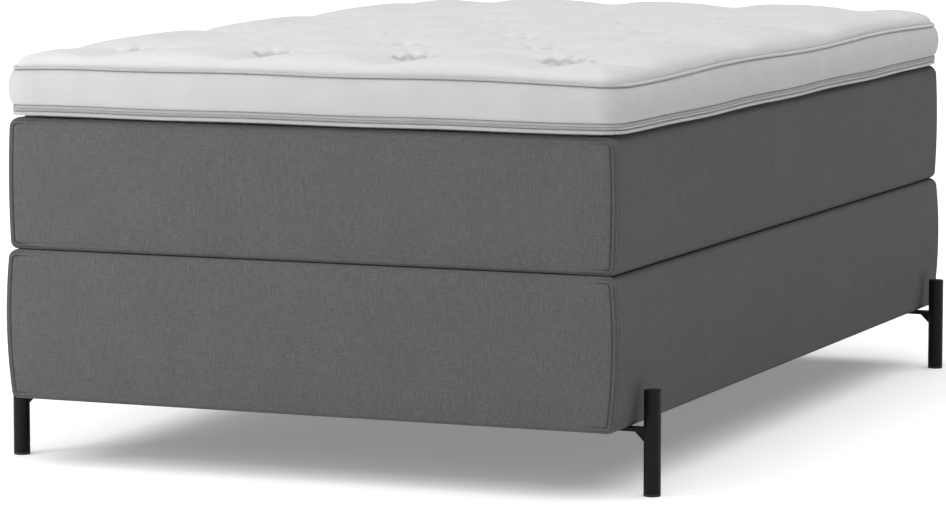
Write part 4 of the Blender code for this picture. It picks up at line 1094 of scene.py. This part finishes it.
def closed_below(name, top, level):
    """A body whose top is a lattice, with an upright rim and a flat underside in strips."""
    rows, columns, _ = top.shape
    count = rows * columns
    faces = grid_faces(rows, columns)
    numbers = np.arange(count).reshape(rows, columns)
    border = [*numbers[0], *numbers[1:, -1], *numbers[-1, -2::-1], *numbers[-2:0:-1, 0]]
    border = [int(corner) for corner in border]
    flat = top.reshape(-1, 3)
    low = flat[border].copy()
    low[:, 2] = level(low)
    below = {corner: count + place for place, corner in enumerate(border)}
    for first, second in zip(border, border[1:] + border[:1]):
        faces.append((second, first, below[first], below[second]))
    for row in range(1, rows - 2):
        left = row * columns
        right = left + columns - 1
        faces.append((below[left], below[right], below[right + columns], below[left + columns]))
    first_row = [below[column] for column in range(columns)]
    faces.append((*reversed(first_row), below[columns], below[2 * columns - 1]))
    last_row = [below[(rows - 1) * columns + column] for column in range(columns)]
    faces.append((*last_row, below[(rows - 1) * columns - 1], below[(rows - 2) * columns]))
    return mesh_of(name, np.vstack([flat, low]), faces)


def evened(field, rounds):
    """A field over the lattice with its smallest unevenness taken out, unchanged along the edges."""
    for _ in range(rounds):
        inner = (field[:-2, 1:-1] + field[2:, 1:-1] + field[1:-1, :-2] + field[1:-1, 2:]) / 4
        field = field.copy()
        field[1:-1, 1:-1] = (field[1:-1, 1:-1] + inner) / 2
    return field


def blown_up(lattice, pins):
    """The lattice as a cloth cut a little too large, filled from below and held down at its pins."""
    piece = new_object("quilt_cloth", sheet_mesh("quilt_cloth", lattice, (0, 0, 1)))
    sewn = piece.vertex_groups.new(name="sewn")
    weights = pins.ravel()
    for index in np.nonzero(weights > 0)[0]:
        sewn.add([int(index)], float(weights[index]), "REPLACE")
    cloth = piece.modifiers.new("cloth", "CLOTH")
    for setting, value in CLOTH_SETTINGS.items():
        setattr(cloth.settings, setting, value)
    cloth.settings.vertex_group_mass = "sewn"
    cloth.settings.effector_weights.gravity = 0.0
    cloth.collision_settings.use_collision = False
    cloth.point_cache.frame_start = 1
    cloth.point_cache.frame_end = CLOTH_FRAMES + 1
    scene = bpy.context.scene
    for number in range(1, CLOTH_FRAMES + 1):
        scene.frame_set(number)
    shown = piece.evaluated_get(bpy.context.evaluated_depsgraph_get())
    points = np.zeros(lattice.size)
    shown.data.vertices.foreach_get("co", points)
    bpy.data.objects.remove(piece)
    scene.frame_set(1)
    return points.reshape(lattice.shape)


def build_quilt(sizes):
    """The tufted top cloth with its fill."""
    plan = quilt_plan(sizes.quilt_grid)
    tufts = tuft_places()
    moved = np.zeros((*plan.shape[:2], 3))
    gaps = np.linalg.norm(plan[..., None, :] - tufts, axis=-1).min(axis=-1)
    pins = np.where(edge_distance(plan) < EDGE_SEWN, 1.0, np.clip(1.3 - gaps / TUFT_SEWN, 0, 1))
    cloth = np.dstack([plan, quilt_height(plan, tufts)])
    moved = evened(blown_up(cloth, pins) - cloth, CLOTH_EVENED)
    reach = np.linalg.norm(moved, axis=2, keepdims=True)
    moved = moved * np.minimum(1, CLOTH_CAP / np.maximum(reach, 1e-9))
    plan = finer(plan)
    edge = np.maximum(edge_distance(plan), 0)
    height = quilt_height(plan, tufts) + upper_wave(plan) * np.exp(-edge / EDGE_WAVE_REACH)
    top = np.dstack([plan + overhang(plan, tufts), height]) + finer(moved)
    least = QUILT_LOW + QUILT_THINNEST
    lifted = least + QUILT_BOTTOMING * np.logaddexp(0, (top[..., 2] - least) / QUILT_BOTTOMING)
    top[..., 2] += (lifted - top[..., 2]) * rising(edge, 0, QUILT_LIFT_WIDTH)
    mesh = closed_below("topper_quilt", top, lambda low: QUILT_LOW + upper_wave(low[:, :2]))
    piece = add_piece("topper_quilt", mesh, "topper_cloth", "topper", ("topper_top_quilt",))


# Underside of the base


def build_dust_cover():
    """The thin black cloth under the base, stretched and a little slack between its staples."""
    low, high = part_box("dust_cover")
    xs = np.linspace(low.x, high.x, 71)
    ys = np.linspace(low.y, high.y, 121)
    spots = np.dstack([*np.meshgrid(xs, ys), np.zeros((len(ys), len(xs)))])
    corner = np.array([high.x, high.y])
    slack = falling(np.abs(spots[..., :2]), corner, DUST_SLACK_WIDTH).prod(axis=-1) ** 0.8
    sag = -DUST_SAG * slack + wander(spots, *DUST_WRINKLES) * slack
    points = spots + np.dstack([np.zeros((*slack.shape, 2)), low.z + DUST_LIFT + sag])
    mesh = sheet_mesh("dust_cloth", points, (0, 0, -1))
    piece = add_piece("dust_cloth", mesh, "dust_cloth", "base", ("dust_cover",))
    thicken(piece, DUST_THICKNESS)
    build_staples(low, high)


def build_staples(low, high):
    """Wire staples along the edge of the dust cloth."""
    near_x, far_x = low.x + STAPLE_INSET, high.x - STAPLE_INSET
    near_y, far_y = low.y + STAPLE_INSET, high.y - STAPLE_INSET
    corners = ((near_x, near_y), (far_x, near_y), (far_x, far_y), (near_x, far_y))
    line = np.array([(x, y, low.z + STAPLE_LIFT) for x, y in corners])
    spots, run = evenly(line, STAPLE_PITCH)
    down = np.tile([0.0, 0.0, -1.0], (len(spots), 1))
    add_scattered("dust_cloth_staples", "zinc_steel", "base", thread_shape(*STAPLE), spots, run, down)


# Materials


class Maker:
    """Adds nodes to one shader tree and joins them."""

    def __init__(self, tree):
        self.tree = tree

    def node(self, kind, settings=None, **values):
        made = self.tree.nodes.new(kind)
        for name, value in (settings or {}).items():
            setattr(made, name, value)
        for name, value in values.items():
            self.feed(made.inputs[name.replace("_", " ")], value)
        return made

    def finished(self, result, **values):
        for name, value in values.items():
            self.feed(result.inputs[name], value)
        return self.tree

    def feed(self, socket, value):
        if isinstance(value, bpy.types.NodeSocket):
            self.tree.links.new(value, socket)
        else:
            socket.default_value = value

    def math(self, operation, first, second=None):
        made = self.node("ShaderNodeMath", {"operation": operation})
        self.feed(made.inputs[0], first)
        if second is not None:
            self.feed(made.inputs[1], second)
        return made.outputs[0]

    def stretched(self, vector, scale):
        made = self.node("ShaderNodeVectorMath", {"operation": "MULTIPLY"})
        self.feed(made.inputs[0], vector)
        made.inputs[1].default_value = scale
        return made.outputs[0]

    def noise(self, vector, detail=2.0, roughness=0.5):
        made = self.node("ShaderNodeTexNoise", Vector=vector, Scale=1.0, Detail=detail, Roughness=roughness)
        return made.outputs["Fac"]

    def spread(self, value, low, high, new_low=0.0, new_high=1.0):
        made = self.node("ShaderNodeMapRange")
        self.feed(made.inputs["Value"], value)
        made.inputs["From Min"].default_value = low
        made.inputs["From Max"].default_value = high
        self.feed(made.inputs["To Min"], new_low)
        self.feed(made.inputs["To Max"], new_high)
        return made.outputs["Result"]

    def times(self, first, second):
        return self.math("MULTIPLY", first, second)

    def sum(self, *values):
        total = values[0]
        for value in values[1:]:
            total = self.math("ADD", total, value)
        return total

    def blend(self, *parts):
        return self.sum(*(self.times(value, weight) for value, weight in parts))

    def patches(self, vector, scale, low, detail=2.0, reach=1.0):
        return self.spread(self.noise(self.stretched(vector, scale), detail=detail), low, 1 - low, -reach, reach)


def new_group(name, inputs, outputs=("Shade", "Height")):
    """Starts a node group with named sockets, and returns its maker and its two ends."""
    tree = bpy.data.node_groups.new(name, "ShaderNodeTree")
    tree.interface.new_socket("Vector", in_out="INPUT", socket_type="NodeSocketVector")
    for socket, default in inputs:
        tree.interface.new_socket(socket, in_out="INPUT", socket_type="NodeSocketFloat").default_value = default
    for socket in outputs:
        tree.interface.new_socket(socket, in_out="OUTPUT", socket_type="NodeSocketFloat")
    maker = Maker(tree)
    return maker, maker.node("NodeGroupInput"), maker.node("NodeGroupOutput")


def melange_group():
    """Woven cloth of mixed yarns: streaks both ways, slow clouds and the weave's own relief."""
    maker, given, result = new_group("Melange weave", (("Streaks", 0.5), ("Weave", 0.5)))
    vector = given.outputs["Vector"]
    upright = maker.patches(vector, (520, 520, 55), 0.32)
    level = maker.patches(vector, (60, 60, 560), 0.32)
    speckle = maker.patches(vector, (620, 620, 620), 0.3, detail=1.0)
    clouds = maker.patches(vector, (9, 9, 9), 0.3)
    streaks = maker.blend((upright, 0.40), (level, 0.32), (speckle, 0.60), (clouds, 0.10))
    parts = maker.node("ShaderNodeSeparateXYZ", Vector=vector)
    around = maker.math("ADD", parts.outputs["X"], parts.outputs["Y"])
    warp = maker.math("SINE", maker.times(around, 2 * math.pi / YARN_PITCH))
    weft = maker.math("SINE", maker.times(parts.outputs["Z"], 2 * math.pi / YARN_PITCH))
    weave = (maker.times(warp, weft), given.outputs["Weave"])
    shade = maker.math("ADD", maker.times(streaks, given.outputs["Streaks"]), 1.0)
    relief = maker.blend(weave, (upright, 0.35), (level, 0.35), (speckle, 0.25))
    return maker.finished(result, Shade=shade, Height=relief)


def knit_group():
    """Fine knitted cloth: small loops in rows, with a slow unevenness."""
    maker, given, result = new_group("Fine knit", (("Pitch", 0.0014), ("Unevenness", 0.04)))
    vector = given.outputs["Vector"]
    parts = maker.node("ShaderNodeSeparateXYZ", Vector=vector)
    turn = maker.math("DIVIDE", 2 * math.pi, given.outputs["Pitch"])
    around = maker.math("ADD", parts.outputs["X"], maker.times(parts.outputs["Z"], 0.21))
    along = maker.math("ADD", parts.outputs["Y"], parts.outputs["Z"])
    column = maker.math("SINE", maker.times(around, turn))
    row = maker.math("SINE", maker.times(along, turn))
    loops = maker.times(maker.math("ABSOLUTE", column), row)
    fibres = maker.patches(vector, (1400, 1400, 1400), 0.3, detail=1.0)
    clouds = maker.patches(vector, (14, 14, 14), 0.3, detail=3.0)
    mixed = maker.sum(clouds, maker.times(fibres, 0.5), maker.times(loops, 0.35))
    uneven = maker.times(mixed, given.outputs["Unevenness"])
    relief = maker.sum(loops, maker.times(fibres, 0.4))
    return maker.finished(result, Shade=maker.math("ADD", uneven, 1.0), Height=relief)


def timber_group():
    """Sawn pine: growth rings along the board and fine pores."""
    maker, given, result = new_group("Sawn pine", (("Along Y", 0.0),))
    parts = maker.node("ShaderNodeSeparateXYZ", Vector=given.outputs["Vector"])
    x, y, z = parts.outputs
    long_y = given.outputs["Along Y"]
    long_x = maker.math("SUBTRACT", 1.0, long_y)
    along = maker.blend((x, long_x), (y, long_y))
    across = maker.blend((y, long_x), (x, long_y))
    turned = maker.node("ShaderNodeCombineXYZ", X=along, Y=across, Z=z).outputs[0]
    waver = maker.noise(maker.stretched(turned, (3, 24, 24)), detail=3.0)
    rings = maker.math("SINE", maker.times(waver, 60.0))
    pores = maker.patches(turned, (40, 900, 900), 0.35, detail=1.0)
    shade = maker.sum(1.0, maker.times(rings, 0.10), maker.times(pores, 0.06))
    return maker.finished(result, Shade=shade, Height=maker.sum(maker.times(rings, 0.4), pores))


def cell_group():
    """Cut foam or felt: open cells or fibres of one size."""
    maker, given, result = new_group("Cells and fibres", (("Size", 0.0015), ("Depth", 0.15)))
    scale = maker.math("DIVIDE", 1.0, given.outputs["Size"])
    cells = maker.node("ShaderNodeTexVoronoi", Vector=given.outputs["Vector"], Scale=scale)
    deep = maker.spread(cells.outputs["Distance"], 0.0, 0.8, -1.0, 1.0)
    clouds = maker.patches(given.outputs["Vector"], (20, 20, 20), 0.3, reach=0.5)
    shade = maker.sum(1.0, maker.times(maker.sum(deep, clouds), given.outputs["Depth"]))
    return maker.finished(result, Shade=shade, Height=deep)


def coat_group():
    """Painted or plated metal and moulded plastic: fine orange peel and rubbed spots."""
    maker, given, result = new_group("Coat and wear", (("Grain", 0.0008), ("Wear", 0.3)), ("Shade", "Rough", "Height"))
    vector = given.outputs["Vector"]
    scale = maker.math("DIVIDE", 1.0, given.outputs["Grain"])
    peel = maker.node("ShaderNodeTexNoise", Vector=vector, Scale=scale, Detail=1.0).outputs["Fac"]
    smear = maker.noise(maker.stretched(vector, (35, 35, 14)), detail=4.0, roughness=0.6)
    worn = maker.times(maker.spread(smear, 0.45, 0.75), given.outputs["Wear"])
    shade = maker.math("ADD", worn, maker.spread(peel, 0.3, 0.7, 0.92, 1.08))
    return maker.finished(result, Shade=shade, Rough=worn, Height=peel)


def new_material(name, colour, roughness, metallic=0.0, sheen=0.0, gloss=0.5):
    """Starts a material, and returns its maker and its shader."""
    material = bpy.data.materials.new(name)
    material.use_nodes = True
    material.diffuse_color = (*colour, 1.0)
    shader = material.node_tree.nodes["Principled BSDF"]
    shader.inputs["Roughness"].default_value = roughness
    shader.inputs["Metallic"].default_value = metallic
    shader.inputs["Sheen Weight"].default_value = sheen
    shader.inputs["Specular IOR Level"].default_value = gloss
    MATERIALS[name] = material
    return Maker(material.node_tree), shader


def colour_by(maker, shader, colour, shade):
    """Feeds the base colour with a colour made lighter and darker by a shade."""
    scaled = maker.node("ShaderNodeVectorMath", {"operation": "SCALE"})
    scaled.inputs[0].default_value = colour
    maker.feed(scaled.inputs["Scale"], shade)
    maker.feed(shader.inputs["Base Color"], scaled.outputs[0])


def relief_by(maker, shader, height, depth, strength):
    """Feeds the normal with a height in the given depth."""
    bump = maker.node("ShaderNodeBump", Height=height)
    bump.inputs["Distance"].default_value = depth
    bump.inputs["Strength"].default_value = strength
    maker.feed(shader.inputs["Normal"], bump.outputs["Normal"])


def group_node(maker, tree, values):
    """Places a node group at the place on the piece, in metres, and sets its other inputs in turn."""
    made = maker.node("ShaderNodeGroup", {"node_tree": tree})
    maker.feed(made.inputs["Vector"], maker.node("ShaderNodeTexCoord").outputs["Object"])
    for socket, value in zip(made.inputs[1:], values):
        socket.default_value = value
    return made


def cloth_material(name, colour, tree, roughness, depth, sheen, values):
    """A cloth whose shade and relief come from one of the groups."""
    maker, shader = new_material(name, colour, roughness, sheen=sheen, gloss=0.15)
    made = group_node(maker, tree, values)
    colour_by(maker, shader, colour, made.outputs["Shade"])
    relief_by(maker, shader, made.outputs["Height"], depth, 0.6)


def coat_material(name, colour, tree, roughness, metallic, gloss, values):
    """A coated, plated or moulded finish."""
    maker, shader = new_material(name, colour, roughness, metallic=metallic, gloss=gloss)
    made = group_node(maker, tree, values)
    colour_by(maker, shader, colour, made.outputs["Shade"])
    rough = maker.math("ADD", maker.times(made.outputs["Rough"], 0.35), roughness)
    maker.feed(shader.inputs["Roughness"], rough)
    relief_by(maker, shader, made.outputs["Height"], 0.00005, 0.5)


def tinted(colours, colour, share):
    """A share of a colour, which is given itself or by its name among the bed's colours."""
    parts = getattr(colours, colour) if isinstance(colour, str) else colour
    return tuple(share * part for part in parts)


def make_materials(colours):
    """Makes every finish of the bed."""
    groups = {"melange": melange_group(), "knit": knit_group(), "cells": cell_group()}
    for name, colour, share, group, *looks in CLOTHS:
        cloth_material(name, tinted(colours, colour, share), groups[group], *looks)
    coat = coat_group()
    for name, colour, share, *looks in COATS:
        coat_material(name, tinted(colours, colour, share), coat, *looks)
    timber = timber_group()
    for name, along in (("pine_long", 1.0), ("pine_cross", 0.0)):
        maker, shader = new_material(name, PINE, 0.65)
        made = group_node(maker, timber, (along,))
        colour_by(maker, shader, PINE, made.outputs["Shade"])
        relief_by(maker, shader, made.outputs["Height"], 0.0002, 0.4)


# Finishes of the frame's own nodes, by the start of their names
ZIP_FINISHES = {"zip_metal": ("zip_slider", "zip_pull")}
LEG_FINISHES = {
    "black_steel": ("leg_tube", "leg_bracket"),
    "black_plastic": ("leg_glide",),
    "zinc_steel": ("leg_bolt",),
}
INNER_FINISHES = {
    "pine_long": ("side_rail",),
    "pine_cross": ("leg_board", "end_rail", "corner_block", "slat"),
    "white_foam": ("base_foam", "mattress_edge_foam", "topper_foam_core"),
    "blue_foam": ("mattress_top_foam", "mattress_bottom_foam"),
    "felt": ("base_spring_felt", "mattress_spring_felt"),
    "pocket_cloth": ("base_pocket", "mattress_pocket"),
}


def finish_nodes(finishes):
    """Gives the frame's own nodes their finish, by the start of their names."""
    for finish, starts in finishes.items():
        for start in starts:
            nodes = [node for name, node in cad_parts.items() if name.startswith(start)]
            if not nodes:
                raise RuntimeError(f"the frame has no node that starts with {start}")
            for node in nodes:
                if not node.material_slots:
                    node.data.materials.append(None)
                for slot in node.material_slots:
                    slot.material = MATERIALS[finish]


# Operators


class BED_OT_finishes(Operator):
    """Make the finishes of the bed"""

    bl_idname = "bed.finishes"
    bl_label = "Finishes"

    def execute(self, context):
        make_materials(context.scene.bed_colours)
        return {"FINISHED"}


class BED_OT_base_cover(Operator):
    """Make the cloth cover of the base"""

    bl_idname = "bed.base_cover"
    bl_label = "Base cover"

    def execute(self, context):
        dress_block("base", BASE_SECTION, "base", 1, context.scene.bed_sizes)
        return {"FINISHED"}


class BED_OT_mattress_cover(Operator):
    """Make the cloth cover of the mattress"""

    bl_idname = "bed.mattress_cover"
    bl_label = "Mattress cover"

    def execute(self, context):
        dress_block("mattress", MATTRESS_SECTION, "mattress", 4, context.scene.bed_sizes)
        return {"FINISHED"}


class BED_OT_topper_quilt(Operator):
    """Make the tufted top of the topper"""

    bl_idname = "bed.topper_quilt"
    bl_label = "Tufted top"

    def execute(self, context):
        build_quilt(context.scene.bed_sizes)
        return {"FINISHED"}


class BED_OT_topper_border(Operator):
    """Make the topper's border and its two pipings"""

    bl_idname = "bed.topper_border"
    bl_label = "Border and pipings"

    def execute(self, context):
        build_border(context.scene.bed_sizes)
        build_piping("topper_upper_cord", UPPER_PIPING_Z, PIPING_RADIUS, "topper_upper_piping")
        build_piping("topper_lower_cord", LOWER_PIPING_Z, LOWER_PIPING_RADIUS, "topper_lower_piping")
        return {"FINISHED"}


class BED_OT_topper_zip(Operator):
    """Make the zip round the topper and the cloth under it"""

    bl_idname = "bed.topper_zip"
    bl_label = "Zip and underside"

    def execute(self, context):
        build_zip(context.scene.bed_sizes)
        build_underside()
        finish_nodes(ZIP_FINISHES)
        return {"FINISHED"}


class BED_OT_legs(Operator):
    """Finish the legs, their brackets, bolts and feet"""

    bl_idname = "bed.legs"
    bl_label = "Legs"

    def execute(self, context):
        finish_nodes(LEG_FINISHES)
        return {"FINISHED"}


class BED_OT_inner_parts(Operator):
    """Finish the timber, foam, felt and springs inside"""

    bl_idname = "bed.inner_parts"
    bl_label = "Inner parts"

    def execute(self, context):
        finish_nodes(INNER_FINISHES)
        return {"FINISHED"}


class BED_OT_dust_cover(Operator):
    """Make the stapled cloth under the base"""

    bl_idname = "bed.dust_cover"
    bl_label = "Dust cloth"

    def execute(self, context):
        build_dust_cover()
        return {"FINISHED"}


def add_light(name, kind, energy, towards, **settings):
    """A light that shines in a direction."""
    data = bpy.data.lights.new(name, kind)
    data.energy = energy
    for setting, value in settings.items():
        setattr(data, setting, value)
    light = new_object(name, data)
    light.rotation_euler = Vector(towards).to_track_quat("-Z", "Y").to_euler()
    return light


def floor_material(glow):
    """A plain pale floor, whose shadows are lifted a little in the picture alone."""
    material = bpy.data.materials.new("pale_floor")
    material.use_nodes = True
    maker = Maker(material.node_tree)
    shader = material.node_tree.nodes["Principled BSDF"]
    shader.inputs["Roughness"].default_value = 0.9
    vector = maker.node("ShaderNodeTexCoord").outputs["Object"]
    soft = maker.spread(maker.noise(maker.stretched(vector, (2, 2, 2)), detail=3.0), 0.3, 0.7, *FLOOR_TONES)
    tone = maker.node("ShaderNodeCombineXYZ", X=soft, Y=soft, Z=soft).outputs[0]
    maker.feed(shader.inputs["Base Color"], tone)
    seen = maker.node("ShaderNodeLightPath").outputs["Is Camera Ray"]
    lift = maker.node("ShaderNodeEmission", Strength=maker.times(seen, glow))
    both = maker.node("ShaderNodeAddShader")
    maker.feed(both.inputs[0], shader.outputs[0])
    maker.feed(both.inputs[1], lift.outputs[0])
    maker.feed(material.node_tree.nodes["Material Output"].inputs["Surface"], both.outputs[0])
    return material


class BED_OT_stage(Operator):
    """Make the floor, the lights and the camera"""

    bl_idname = "bed.stage"
    bl_label = "Stage"

    def execute(self, context):
        lights = context.scene.bed_lights
        steps = np.linspace(-FLOOR_HALF, FLOOR_HALF, 9)
        points = np.array([[(x, y, 0.0) for x in steps] for y in steps])
        mesh = sheet_mesh("floor", points, (0, 0, 1))
        mesh.materials.append(floor_material(lights.floor_glow))
        floor = new_object("floor", mesh)
        add_light("key", "SUN", lights.key_strength, KEY_TOWARDS, angle=lights.key_spread)
        towards = Vector(LEFT_TARGET) - Vector(LEFT_PLACE)
        left = add_light("left", "AREA", lights.side_power, towards, size=LEFT_SIZE)
        left.location = LEFT_PLACE
        left.visible_camera = False
        world = bpy.data.worlds.new("white_room")
        context.scene.world = world
        world.use_nodes = True
        maker = Maker(world.node_tree)
        back = world.node_tree.nodes["Background"]
        back.inputs["Color"].default_value = (1.0, 1.0, 1.0, 1.0)
        seen = maker.node("ShaderNodeLightPath").outputs["Is Camera Ray"]
        maker.feed(back.inputs["Strength"], maker.spread(seen, 0.0, 1.0, lights.world_strength, 1.0))
        data = bpy.data.cameras.new("camera")
        data.sensor_width = 36.0
        data.lens = CAMERA_LENS
        data.clip_end = 200.0
        camera = new_object("camera", data)
        camera.location = CAMERA_PLACE
        camera.rotation_euler = (math.radians(90 - CAMERA_DOWN), 0.0, math.radians(CAMERA_TURN))
        context.scene.camera = camera
        context.scene.view_settings.view_transform = "Standard"
        return {"FINISHED"}


class BED_PT_panel(Panel):
    """Lists the bed's pieces and its sizes"""

    bl_idname = "BED_PT_panel"
    bl_label = "Box spring bed"
    bl_space_type = "VIEW_3D"
    bl_region_type = "UI"
    bl_category = "Bed"

    def draw(self, context):
        for operator in OPERATORS:
            self.layout.operator(operator.bl_idname)
        for group in (context.scene.bed_sizes, context.scene.bed_colours, context.scene.bed_lights):
            box = self.layout.box()
            for name in group.__annotations__:
                box.prop(group, name)


PROPERTY_GROUPS = (BedSizes, BedColours, BedLights)
OPERATORS = (
    BED_OT_finishes,
    BED_OT_base_cover,
    BED_OT_mattress_cover,
    BED_OT_topper_border,
    BED_OT_topper_zip,
    BED_OT_topper_quilt,
    BED_OT_legs,
    BED_OT_inner_parts,
    BED_OT_dust_cover,
    BED_OT_stage,
)


def register():
    """Registers the groups, operators and panel."""
    for made in (*PROPERTY_GROUPS, *OPERATORS, BED_PT_panel):
        bpy.utils.register_class(made)
    bpy.types.Scene.bed_sizes = PointerProperty(type=BedSizes)
    bpy.types.Scene.bed_colours = PointerProperty(type=BedColours)
    bpy.types.Scene.bed_lights = PointerProperty(type=BedLights)


def unregister():
    """Takes the groups, operators and panel away again."""
    del bpy.types.Scene.bed_sizes
    del bpy.types.Scene.bed_colours
    del bpy.types.Scene.bed_lights
    for made in reversed((*PROPERTY_GROUPS, *OPERATORS, BED_PT_panel)):
        bpy.utils.unregister_class(made)


def main():
    """Makes the whole bed."""
    register()
    for operator in OPERATORS:
        made = getattr(bpy.ops.bed, operator.bl_idname.split(".")[1])()
        if made != {"FINISHED"}:
            raise RuntimeError(f"{operator.bl_idname} did not finish")


if __name__ == "__main__":
    main()
